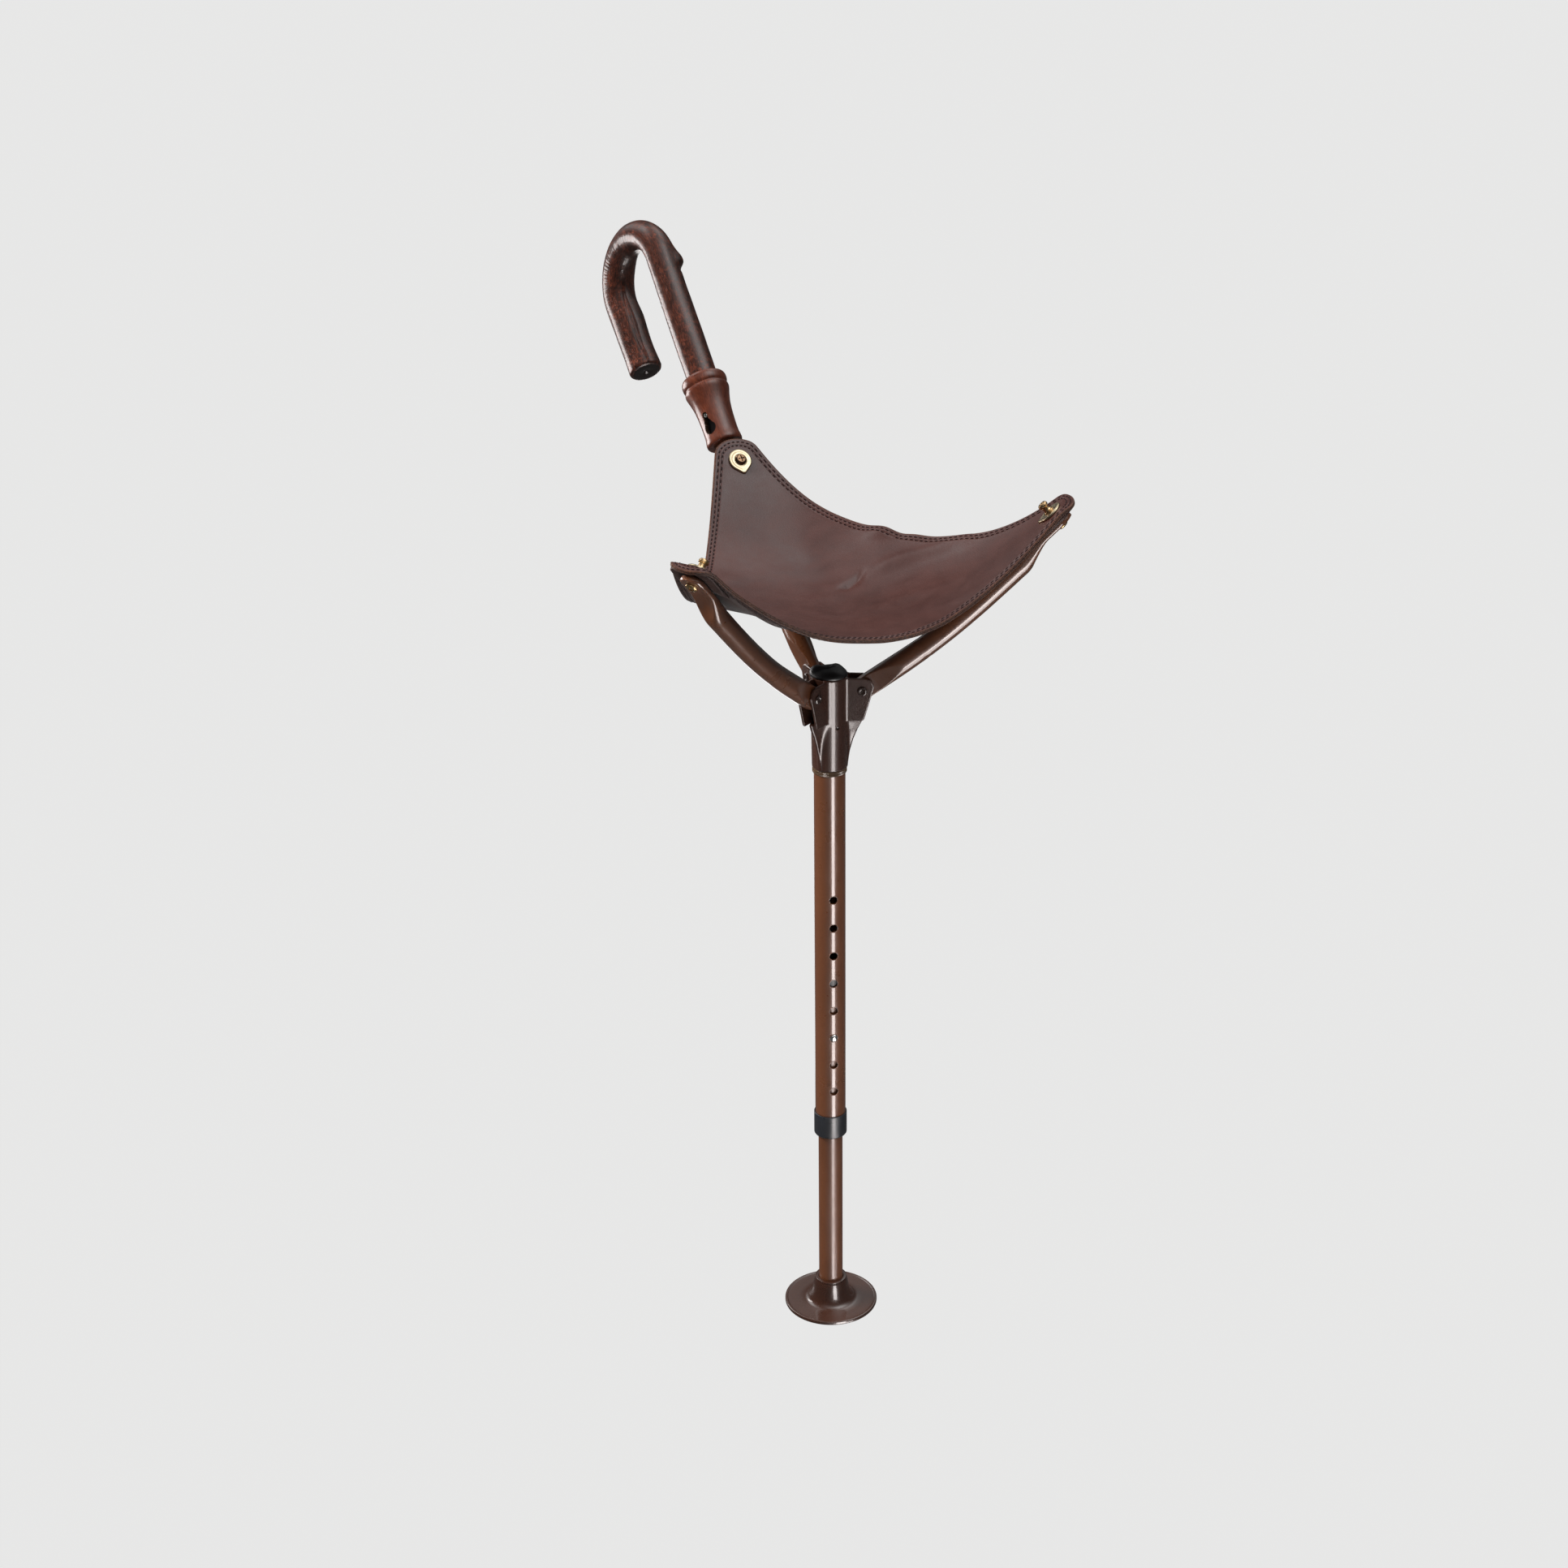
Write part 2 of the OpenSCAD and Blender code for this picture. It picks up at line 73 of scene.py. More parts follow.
PIVOT_R, PIVOT_Z = 25.7, 564.0
A1, A2, BEND = 36.0, 46.0, 762.0
SX, SZ = math.cos(rad(A2)), math.sin(rad(A2))
B1 = (PIVOT_R + 30 * math.cos(rad(A1)), PIVOT_Z + 30 * math.sin(rad(A1)))
BC = (B1[0] - BEND * math.sin(rad(A1)), B1[1] + BEND * math.cos(rad(A1)))
B2 = (BC[0] + BEND * SZ, BC[1] - BEND * SX)
ARC = BEND * rad(A2 - A1)
AZ = {"a": 120.0, "b": 240.0, "c": 0.0}
BODY = {"a": "handle_arm", "b": "left_arm", "c": "right_arm"}
TIP = {"a": 30.0, "b": 39.0, "c": 39.0}
SHEET_MID, SHEET_T = 14.5, 3.2
PLATE = SHEET_MID + SHEET_T / 2 + 0.6
COLLAR_AT = 23.0


def tip_xz(k):
    return B2[0] + TIP[k] * SX, B2[1] + TIP[k] * SZ


def at_arm(k):
    return rot("z", AZ[k])


def at_tip(k):
    x, z = tip_xz(k)
    return rot("z", AZ[k]) @ move(x, 0, z) @ rot("y", -A2)


def at_handle():
    x, z = tip_xz("a")
    return rot("z", AZ["a"]) @ move(x + COLLAR_AT * SX, 0, z + COLLAR_AT * SZ) @ rot("y", 90 - A2)


# ------------------------------------------------------------------ mesh helpers
def piece(name, points, faces, mats=(), face_mat=None, sharp=35, smooth=True, uvs=None):
    me = bpy.data.meshes.new(name)
    me.from_pydata((np.asarray(points, float) * MM).tolist(), [], [list(map(int, f)) for f in faces])
    for m in mats:
        me.materials.append(m)
    if face_mat is not None:
        me.polygons.foreach_set("material_index", np.asarray(face_mat, np.int32))
    if uvs is not None:
        layer = me.uv_layers.new(name="UVMap")
        vi = np.empty(len(me.loops), np.int32)
        me.loops.foreach_get("vertex_index", vi)
        layer.data.foreach_set("uv", np.asarray(uvs, np.float32)[vi].ravel())
    me.update()
    if smooth:
        me.shade_smooth()
        if sharp:
            me.set_sharp_from_angle(angle=rad(sharp))
    o = bpy.data.objects.new(name, me)
    bpy.context.scene.collection.objects.link(o)
    return o


def tidy(o, dist=1e-6):
    bm = bmesh.new()
    bm.from_mesh(o.data)
    bmesh.ops.remove_doubles(bm, verts=bm.verts, dist=dist)
    bmesh.ops.dissolve_degenerate(bm, edges=bm.edges, dist=1e-8)
    bmesh.ops.recalc_face_normals(bm, faces=bm.faces)
    bm.to_mesh(o.data)
    bm.free()
    o.data.update()
    return o


def grid(nu, nv, wrap_v=True, base=0):
    """Quads of a grid of nu rows by nv points, each row closed when wrap_v."""
    out = []
    for i in range(nu - 1):
        for j in range(nv if wrap_v else nv - 1):
            k = (j + 1) % nv
            out.append((base + i * nv + j, base + i * nv + k, base + (i + 1) * nv + k, base + (i + 1) * nv + j))
    return out


def fillet(pts, n=4):
    """pts are (x, y, radius): the polyline with each corner rounded."""
    out = []
    for i, (x, y, r) in enumerate(pts):
        if i in (0, len(pts) - 1) or r <= 0:
            out.append((x, y))
            continue
        p, a, b = (np.array(q[:2], float) for q in (pts[i], pts[i - 1], pts[i + 1]))
        u, v = a - p, b - p
        lu, lv = np.linalg.norm(u), np.linalg.norm(v)
        u, v = u / lu, v / lv
        half = math.acos(max(-1, min(1, float(u @ v)))) / 2
        if half > rad(89.0):
            out.append((x, y))
            continue
        d = min(r / math.tan(half), 0.49 * lu, 0.49 * lv)
        rr = d * math.tan(half)
        c = p + (u + v) / np.linalg.norm(u + v) * (rr / math.sin(half))
        s, e = p + u * d - c, p + v * d - c
        a0, a1 = math.atan2(s[1], s[0]), math.atan2(e[1], e[0])
        da = (a1 - a0 + math.pi) % (2 * math.pi) - math.pi
        for k in range(n + 1):
            t = a0 + da * k / n
            out.append((c[0] + rr * math.cos(t), c[1] + rr * math.sin(t)))
    return out


def curve(pts, n=6):
    """Catmull-Rom through the points."""
    p = np.array(pts, float)
    q = np.vstack([2 * p[0] - p[1], p, 2 * p[-1] - p[-2]])
    out = []
    for i in range(1, len(q) - 2):
        for k in range(n):
            t = k / n
            out.append(0.5 * (2 * q[i] + (q[i + 1] - q[i - 1]) * t
                              + (2 * q[i - 1] - 5 * q[i] + 4 * q[i + 1] - q[i + 2]) * t * t
                              + (3 * q[i] - q[i - 1] - 3 * q[i + 1] + q[i + 2]) * t ** 3))
    out.append(q[-2])
    return [tuple(v) for v in out]


def lathe(name, profile, m=np.eye(4), segs=96, mats=(), wobble=None, sharp=32, closed=False, face_mat=None):
    """Turns (radius, height) points round the frame's Z. A profile that starts and ends on the axis is closed."""
    prof = np.array(profile, float)
    if closed:
        prof = np.vstack([prof, prof[:1]])
    th = np.arange(segs) * 2 * math.pi / segs
    rows = []
    for r, z in prof:
        rr = np.full(segs, r)
        if wobble is not None:
            rr = rr + wobble(r, z, th)
        rows.append(np.c_[rr * np.cos(th), rr * np.sin(th), np.full(segs, z)])
    pts = put(np.vstack(rows), m)
    faces = grid(len(prof), segs)
    o = piece(name, pts, faces, mats, sharp=None)
    tidy(o, 2e-6)
    o.data.shade_smooth()
    if sharp:
        o.data.set_sharp_from_angle(angle=rad(sharp))
    return o


def apply_modifiers(o):
    dg = bpy.context.evaluated_depsgraph_get()
    me = bpy.data.meshes.new_from_object(o.evaluated_get(dg), preserve_all_data_layers=True, depsgraph=dg)
    o.modifiers.clear()
    old = o.data
    o.data = me
    me.name = old.name
    return o


def cut(o, tool):
    m = o.modifiers.new("cut", "BOOLEAN")
    m.operation = "DIFFERENCE"
    m.solver = "EXACT"
    m.object = tool
    bpy.context.view_layer.update()
    apply_modifiers(o)
    bpy.data.objects.remove(tool)
    return o


def smoothstep(a, b, x):
    t = np.clip((np.asarray(x, float) - a) / (b - a), 0, 1)
    return t * t * (3 - 2 * t)


# ------------------------------------------------------------------ materials
class Mat:
    def __init__(self, name, color=(0.2, 0.2, 0.2), rough=0.4, metal=0.0, **sockets):
        self.m = bpy.data.materials.new(name)
        self.m.use_nodes = True
        self.nt = self.m.node_tree
        self.b = next(n for n in self.nt.nodes if n.type == "BSDF_PRINCIPLED")
        self.b.inputs["Base Color"].default_value = (*color, 1)
        self.b.inputs["Roughness"].default_value = rough
        self.b.inputs["Metallic"].default_value = metal
        for k, v in sockets.items():
            self.b.inputs[k.replace("_", " ")].default_value = v
        self.coord = self.nt.nodes.new("ShaderNodeTexCoord").outputs["Object"]

    def node(self, kind, inputs=None, **props):
        n = self.nt.nodes.new("ShaderNode" + kind)
        for k, v in props.items():
            setattr(n, k, v)
        for k, v in (inputs or {}).items():
            s = n.inputs[k]
            if isinstance(v, bpy.types.NodeSocket):
                self.nt.links.new(v, s)
            else:
                s.default_value = v
        return n

    def stretch(self, scale, vec=None, offset=(0, 0, 0)):
        return self.node("Mapping", {"Vector": vec or self.coord, "Scale": scale, "Location": offset}).outputs[0]

    def noise(self, scale, detail=3.0, rough=0.5, vec=None, distortion=0.0):
        return self.node("TexNoise", {"Vector": vec or self.coord, "Scale": scale, "Detail": detail,
                                      "Roughness": rough, "Distortion": distortion}).outputs["Fac"]

    def voronoi(self, scale, feature="F1", vec=None, smooth=None, rnd=1.0):
        n = self.node("TexVoronoi", {"Vector": vec or self.coord, "Scale": scale, "Randomness": rnd}, feature=feature)
        if smooth is not None:
            n.inputs["Smoothness"].default_value = smooth
        return n.outputs["Distance"]

    def ramp(self, fac, stops, interp="LINEAR"):
        n = self.node("ValToRGB", {"Fac": fac})
        r = n.color_ramp
        r.interpolation = interp
        while len(r.elements) < len(stops):
            r.elements.new(0.5)
        for e, (p, c) in zip(r.elements, stops):
            e.position = p
            e.color = (*c, 1) if hasattr(c, "__len__") else (c, c, c, 1)
        return n.outputs["Color"]

    def mix(self, fac, a, b, blend="MIX"):
        n = self.node("Mix", data_type="RGBA", blend_type=blend)
        for s, v in ((n.inputs[0], fac), (n.inputs[6], a), (n.inputs[7], b)):
            if isinstance(v, bpy.types.NodeSocket):
                self.nt.links.new(v, s)
            elif hasattr(v, "__len__"):
                s.default_value = (*v, 1)
            else:
                s.default_value = v
        return n.outputs[2]

    def math(self, op, a, b=0.0, clamp=False):
        n = self.node("Math", operation=op, use_clamp=clamp)
        for s, v in zip(n.inputs, (a, b)):
            if isinstance(v, bpy.types.NodeSocket):
                self.nt.links.new(v, s)
            else:
                s.default_value = v
        return n.outputs[0]

    def remap(self, v, a, b, lo=0.0, hi=1.0):
        return self.node("MapRange", {"Value": v, "From Min": a, "From Max": b, "To Min": lo, "To Max": hi}).outputs[0]

    def bump(self, height, strength, distance, normal=None):
        i = {"Height": height, "Strength": strength, "Distance": distance}
        if normal is not None:
            i["Normal"] = normal
        return self.node("Bump", i).outputs[0]

    def set(self, socket, v):
        self.nt.links.new(v, self.b.inputs[socket])
        return self


def paint(name, dark, light, rough=0.2, peel=0.00003, coat=0.75):
    p = Mat(name, light, rough, 0.0, Coat_Weight=coat, Coat_Roughness=0.035, Coat_IOR=1.5, IOR=1.45)
    a = p.noise(9, 3, 0.55)
    b = p.noise(420, 2, 0.6)
    p.set("Base Color", p.mix(p.remap(b, 0.3, 0.75, 0, 0.22), p.ramp(a, [(0.3, dark), (0.7, light)]),
                              tuple(0.55 * c for c in dark)))
    p.set("Roughness", p.remap(p.noise(60, 4, 0.6), 0.3, 0.7, rough * 0.8, rough * 1.3))
    p.set("Normal", p.bump(p.noise(330, 2, 0.5), 0.35, peel, p.bump(p.noise(1500, 2, 0.6), 0.25, peel * 0.25)))
    return p.m


def hammered(name, dark, light):
    p = Mat(name, light, 0.3, 0.0, Coat_Weight=0.55, Coat_Roughness=0.11, IOR=1.5, Specular_IOR_Level=0.30)
    cells = p.voronoi(1100, "SMOOTH_F1", smooth=0.6)
    fine = p.noise(3800, 3, 0.65)
    p.set("Base Color", p.mix(p.remap(fine, 0.47, 0.72, 0, 0.5), p.ramp(p.noise(14, 3), [(0.3, dark), (0.7, light)]),
                              tuple(min(1, 2.2 * c) for c in light)))
    p.set("Roughness", p.remap(fine, 0.3, 0.7, 0.18, 0.34))
    p.set("Normal", p.bump(fine, 0.75, 0.00010, p.bump(cells, 0.45, 0.00013)))
    return p.m


def plastic(name, color, rough=0.35, grain=0.00004):
    p = Mat(name, color, rough, 0.0, IOR=1.48)
    p.set("Base Color", p.mix(p.remap(p.noise(30, 4), 0.3, 0.7), tuple(0.75 * c for c in color),
                              tuple(1.35 * c for c in color)))
    p.set("Roughness", p.remap(p.noise(90, 4, 0.6), 0.3, 0.7, rough * 0.85, rough * 1.2))
    p.set("Normal", p.bump(p.noise(1600, 3, 0.6), 0.5, grain))
    return p.m


def metal(name, color, rough=0.22, tarnish=(0.2, 0.15, 0.1), amount=0.35, brush=None, bump=0.00003):
    p = Mat(name, color, rough, 1.0)
    blot = p.noise(140, 5, 0.65)
    p.set("Base Color", p.mix(p.remap(blot, 0.52, 0.8, 0, amount), color, tarnish))
    p.set("Roughness", p.remap(p.noise(260, 4, 0.6), 0.3, 0.7, rough * 0.7, rough * 1.5))
    v = p.stretch(brush) if brush else p.coord
    p.set("Normal", p.bump(p.noise(900, 3, 0.6, vec=v), 0.4, bump))
    return p.m


def leather(name, dark, mid, rough=0.36, grain=620, depth=0.00008):
    p = Mat(name, mid, rough, 0.0, IOR=1.46, Specular_IOR_Level=0.50, Sheen_Weight=0.004, Sheen_Roughness=0.4)
    big = p.noise(11, 4, 0.55)
    small = p.noise(75, 4, 0.6)
    fac = p.math("ADD", p.math("MULTIPLY", big, 0.65), p.math("MULTIPLY", small, 0.35))
    warped = p.node("VectorMath", {0: p.coord, 1: p.node("VectorMath", {
        0: p.node("TexNoise", {"Vector": p.coord, "Scale": 180.0, "Detail": 2.0}).outputs["Color"],
        3: 0.0016}, operation="SCALE").outputs[0]}, operation="ADD").outputs[0]
    pores = p.voronoi(grain, "DISTANCE_TO_EDGE", vec=warped)
    lines = p.remap(pores, 0.0, 0.16, 0.0, 1.0)
    fine = p.noise(2600, 3, 0.7)
    base = p.ramp(fac, [(0.34, dark), (0.66, mid)])
    # painted shade: the colour darkens along the grain's creases
    base = p.mix(p.remap(pores, 0.0, 0.07, 0.28, 0.0), base, tuple(0.45 * c for c in dark))
    p.set("Base Color", base)
    p.set("Roughness", p.remap(small, 0.3, 0.7, rough * 0.86, rough * 1.2))
    soft = p.bump(p.noise(55, 3, 0.5), 0.25, 0.0006)
    p.set("Normal", p.bump(fine, 0.22, depth * 0.4, p.bump(lines, 0.5, depth, soft)))
    return p.m


def raw_edge(name, dark=(0.016, 0.0055, 0.0035), mid=(0.055, 0.020, 0.011), light=(0.150, 0.062, 0.030)):
    p = Mat(name, mid, 0.6, 0.0, IOR=1.45, Sheen_Weight=0.04, Sheen_Roughness=0.5, Specular_IOR_Level=0.35)
    fib = p.noise(900, 5, 0.7)
    blot = p.noise(90, 4, 0.6)
    base = p.ramp(fib, [(0.3, dark), (0.5, mid), (0.72, light)])
    p.set("Base Color", p.mix(p.remap(blot, 0.35, 0.7, 0, 0.55), base, dark))
    p.set("Normal", p.bump(fib, 0.8, 0.0003, p.bump(p.noise(240, 3), 0.4, 0.0006)))
    return p.m


def thread_mat(name):
    p = Mat(name, (0.008, 0.003, 0.003), 0.6, 0.0, Specular_IOR_Level=0.25)
    f = p.noise(2400, 3, 0.6)
    p.set("Base Color", p.ramp(f, [(0.35, (0.005, 0.0016, 0.0018)), (0.7, (0.020, 0.006, 0.006))]))
    p.set("Normal", p.bump(f, 0.8, 0.0001))
    return p.m


def wood(name, dark, mid, red, rough=0.16, coat=0.9, coat_rough=0.05, mottle=1.0, sheen=0.0):
    """Varnished wood. The grain runs along V of the UV map; U is the turn round the rod (both in 100 mm)."""
    p = Mat(name, mid, rough, 0.0, Coat_Weight=coat, Coat_Roughness=coat_rough, Coat_IOR=1.5, IOR=1.5, Specular_IOR_Level=0.28)
    uv = p.node("TexCoord").outputs["UV"]
    along = p.stretch((26, 3.2, 1), uv)
    fibre = p.noise(5.5, 6, 0.62, vec=along, distortion=0.8)
    figure = p.noise(2.0, 4, 0.6, vec=p.stretch((5, 2.4, 1), uv), distortion=1.6)
    spots = p.noise(300, 5, 0.75)
    patch = p.noise(34, 4, 0.6)
    base = p.ramp(fibre, [(0.32, dark), (0.52, mid), (0.72, red)])
    base = p.mix(p.remap(figure, 0.42, 0.68, 0, 0.75), base, dark)
    base = p.mix(p.math("MULTIPLY", p.remap(spots, 0.50, 0.64, 0, 0.85 * mottle, ), p.remap(patch, 0.40, 0.6, 0, 1)), base, red)
    p.set("Base Color", base)
    p.set("Roughness", p.remap(spots, 0.3, 0.7, rough * 0.8, rough * 1.5))
    p.set("Normal", p.bump(fibre, 0.28, 0.00018, p.bump(spots, 0.20 * mottle, 0.00022, p.bump(patch, 0.2, 0.0007))))
    return p.m


M_TUBE = paint("tube_enamel", (0.105, 0.036, 0.015), (0.150, 0.052, 0.021), 0.30)
M_LOWER = paint("lower_tube_enamel", (0.100, 0.035, 0.015), (0.145, 0.051, 0.021), 0.36, coat=0.28)
M_FOOT = paint("foot_enamel", (0.028, 0.0100, 0.0056), (0.042, 0.0152, 0.0086), 0.30)
M_RIVET = paint("rivet_enamel", (0.022, 0.010, 0.007), (0.040, 0.018, 0.012), 0.22)
M_HUB = hammered("hammered_enamel", (0.032, 0.0130, 0.0088), (0.054, 0.0220, 0.0145))
M_RING = hammered("ring_enamel", (0.060, 0.034, 0.018), (0.105, 0.062, 0.034))
M_BLACK = plastic("black_nylon", (0.006, 0.006, 0.0065), 0.42)
M_BUSH = plastic("bush_nylon", (0.016, 0.017, 0.020), 0.30)
M_CHROME = metal("button_nickel", (0.80, 0.79, 0.78), 0.10, (0.35, 0.33, 0.31), 0.2)
M_SPRING = metal("spring_steel", (0.52, 0.52, 0.53), 0.26, (0.2, 0.18, 0.16), 0.3, (1, 1, 0.05))
M_STEEL = metal("zinc_steel", (0.70, 0.69, 0.66), 0.20, (0.3, 0.26, 0.2), 0.25)
M_PLATE = metal("plate_brass", (0.52, 0.43, 0.29), 0.27, (0.30, 0.20, 0.10), 0.5)
M_SCREW = metal("screw_brass", (0.60, 0.42, 0.21), 0.22, (0.24, 0.12, 0.05), 0.5)
M_DARKSCREW = metal("screw_bronze", (0.20, 0.125, 0.075), 0.22, (0.05, 0.03, 0.02), 0.5)
M_STUD = metal("stud_brass", (0.62, 0.42, 0.22), 0.18, (0.26, 0.13, 0.05), 0.5)
M_LEATHER = leather("seat_hide", (0.031, 0.0102, 0.0080), (0.051, 0.0168, 0.0130))
M_UNDER = raw_edge("hide_underside", (0.020, 0.0075, 0.0055), (0.034, 0.013, 0.009), (0.060, 0.024, 0.015))
M_EDGE = raw_edge("hide_edge")
M_THREAD = thread_mat("stitch_thread")
M_WOOD = wood("crook_varnish", (0.0065, 0.0026, 0.0020), (0.030, 0.0085, 0.0050), (0.125, 0.029, 0.013), 0.34, 0.34, 0.09, 1.0)
M_COLLAR = wood("collar_varnish", (0.042, 0.0100, 0.0052), (0.084, 0.0210, 0.0105), (0.130, 0.036, 0.018), 0.30, 0.42, 0.06, 0.25)
M_CUTWOOD = raw_edge("cut_wood", (0.020, 0.009, 0.005), (0.060, 0.027, 0.013), (0.17, 0.085, 0.038))
# painted shade: a flat black for the part of arm A's tube hidden in the collar, so the keyhole looks dark inside
M_SHADE_BLACK = plastic("tube_end_painted_shade", (0.0035, 0.003, 0.003), 0.6)
M_ENDGRAIN = plastic("end_grain_varnish", (0.010, 0.006, 0.005), 0.2, 0.0001)


def dress(node, *mats):
    o = NODES[node]
    o.data.materials.clear()
    for m in mats:
        o.data.materials.append(m)
    return o


def stand(o, node, body):
    """o stands for a CAD node on that body."""
    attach(o, body)
    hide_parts(node)
    return o


# ------------------------------------------------------------------ camera, floor and light
def camera():
    L, H, az, pitch, F, roll, yaw = 1.982066, 1.369151, rad(-86.394), rad(24.101), 3413.349, rad(-0.576), rad(1.033)
    pos = Vector((L * math.cos(az), L * math.sin(az), H))
    fh = Vector((-math.cos(az + yaw), -math.sin(az + yaw), 0))
    fwd = fh * math.cos(pitch) + Vector((0, 0, -1)) * math.sin(pitch)
    right = fh.cross(Vector((0, 0, 1))).normalized()
    up = right.cross(fwd)
    r = right * math.cos(roll) + up * math.sin(roll)
    u = -right * math.sin(roll) + up * math.cos(roll)
    cam = bpy.data.cameras.new("camera")
    cam.sensor_width = 36
    cam.sensor_height = 36
    cam.sensor_fit = "HORIZONTAL"
    cam.lens = F / 1932 * 36
    cam.clip_end = 60
    o = bpy.data.objects.new("camera", cam)
    b = -fwd
    o.matrix_world = Matrix(((r.x, u.x, b.x, pos.x), (r.y, u.y, b.y, pos.y), (r.z, u.z, b.z, pos.z), (0, 0, 0, 1)))
    bpy.context.scene.collection.objects.link(o)
    bpy.context.scene.camera = o


def light(name, az, dist, z, w, h, power, aim=0.55, color=(1, 1, 1)):
    d = bpy.data.lights.new(name, "AREA")
    d.shape = "RECTANGLE"
    d.size, d.size_y = w, h
    d.energy = power
    d.color = color
    o = bpy.data.objects.new(name, d)
    o.location = (dist * math.cos(rad(az)), dist * math.sin(rad(az)), z)
    o.rotation_euler = (Vector((0, 0, aim)) - o.location).to_track_quat("-Z", "Y").to_euler()
    bpy.context.scene.collection.objects.link(o)
    return o


def studio():
    f = Mat("floor_paper", (0.05, 0.05, 0.05), 0.9)
    f.b.inputs["Specular IOR Level"].default_value = 0.0
    f.b.inputs["Emission Strength"].default_value = 0.80
    f.set("Base Color", f.ramp(f.noise(3, 3), [(0.3, (0.049, 0.049, 0.049)), (0.7, (0.051, 0.051, 0.051))]))
    f.b.inputs["Emission Color"].default_value = (1, 1, 0.995, 1)
    # a round cove: the paper turns up into a wall all round, well behind every view
    cove = [(0, 0), (9000, 0)] + [(9000 + 3000 * math.sin(rad(a)), 3000 - 3000 * math.cos(rad(a))) for a in range(6, 91, 6)] + [(12000, 14000)]
    th = np.arange(96) * 2 * math.pi / 96
    rows = [np.c_[r * np.cos(th), r * np.sin(th), np.full(96, z)] for r, z in cove[1:]]
    floor = piece("floor", np.vstack(rows), [tuple(range(96))] + grid(len(rows), 96), [f.m], sharp=None)
    floor.visible_glossy = False
    floor.visible_diffuse = False
    floor.visible_shadow = False
    # a dim room with a few broad soft panels
    w = bpy.data.worlds.new("studio")
    bpy.context.scene.world = w
    w.use_nodes = True
    nt = w.node_tree
    bg = nt.nodes["Background"]
    tc = nt.nodes.new("ShaderNodeTexCoord")
    sep = nt.nodes.new("ShaderNodeSeparateXYZ")
    nt.links.new(tc.outputs["Generated"], sep.inputs[0])
    mr = nt.nodes.new("ShaderNodeMapRange")
    mr.inputs[1].default_value = -1.0
    nt.links.new(sep.outputs[2], mr.inputs[0])
    ramp = nt.nodes.new("ShaderNodeValToRGB")
    nt.links.new(mr.outputs[0], ramp.inputs[0])
    stops = [(0.0, 0.10), (0.44, 0.08), (0.50, 0.09), (0.57, 0.05), (0.76, 0.05), (1.0, 0.08)]
    e = ramp.color_ramp.elements
    while len(e) < len(stops):
        e.new(0.5)
    for el, (p, c) in zip(e, stops):
        el.position = p
        el.color = (c, c, c, 1)
    total = ramp.outputs[0]
    for az, elev, k, power in ((-20, 64, 13.0, 4.3), (74, 52, 24.0, 2.1), (146, 48, 34.0, 3.6), (134, 20, 40.0, 1.2), (-104, 50, 14.0, 0.5)):
        d = nt.nodes.new("ShaderNodeVectorMath")
        d.operation = "DOT_PRODUCT"
        nt.links.new(tc.outputs["Generated"], d.inputs[0])
        d.inputs[1].default_value = (math.cos(rad(az)) * math.cos(rad(elev)), math.sin(rad(az)) * math.cos(rad(elev)), math.sin(rad(elev)))
        last = d.outputs["Value"]
        for op, v in (("SUBTRACT", 1.0), ("MULTIPLY", k), ("EXPONENT", 0.0), ("MULTIPLY", power)):
            m = nt.nodes.new("ShaderNodeMath")
            m.operation = op
            nt.links.new(last, m.inputs[0])
            m.inputs[1].default_value = v
            last = m.outputs[0]
        add = nt.nodes.new("ShaderNodeMix")
        add.data_type = "RGBA"
        add.blend_type = "ADD"
        add.inputs[0].default_value = 1.0
        nt.links.new(total, add.inputs[6])
        nt.links.new(last, add.inputs[7])
        total = add.outputs[2]
    nt.links.new(total, bg.inputs[0])
    bg.inputs[1].default_value = 1.0
    key = light("key_left", 184, 1.9, 2.15, 1.2, 1.0, 118, aim=0.45, color=(1, 0.99, 0.975))
    key.visible_glossy = False
    fill = light("fill_right", -22, 2.2, 1.9, 1.0, 1.0, 12, aim=0.5)
    fill.visible_glossy = False
    # light thrown back up by the pale floor; the floor itself lights nothing
    bounce = light("floor_bounce", -84, 1.5, -0.95, 1.6, 1.6, 26, aim=0.5)
    bounce.visible_glossy = False
    # low strips: only the gloss sees them, as it would see a bright card on the ground
    for name, az, dist, z, w_, h_, power in (("card_front", -62, 2.4, -0.74, 0.90, 1.70, 66), ("card_back", 94, 2.4, -0.5, 1.0, 1.2, 9),
                                             ("card_left", 152, 1.0, 0.60, 0.55, 0.34, 5.0),
                                             ("card_low", -50, 1.35, -1.45, 1.25, 1.0, 30)):
        o = light(name, az, dist, z, w_, h_, power, aim=0.45 if z < 0 else 0.9, color=(1, 0.945, 0.93))
        o.visible_diffuse = False
    sc = bpy.context.scene
    sc.view_settings.view_transform = "Standard"
    sc.view_settings.look = "None"
    sc.view_settings.exposure = 0.0


camera()
studio()


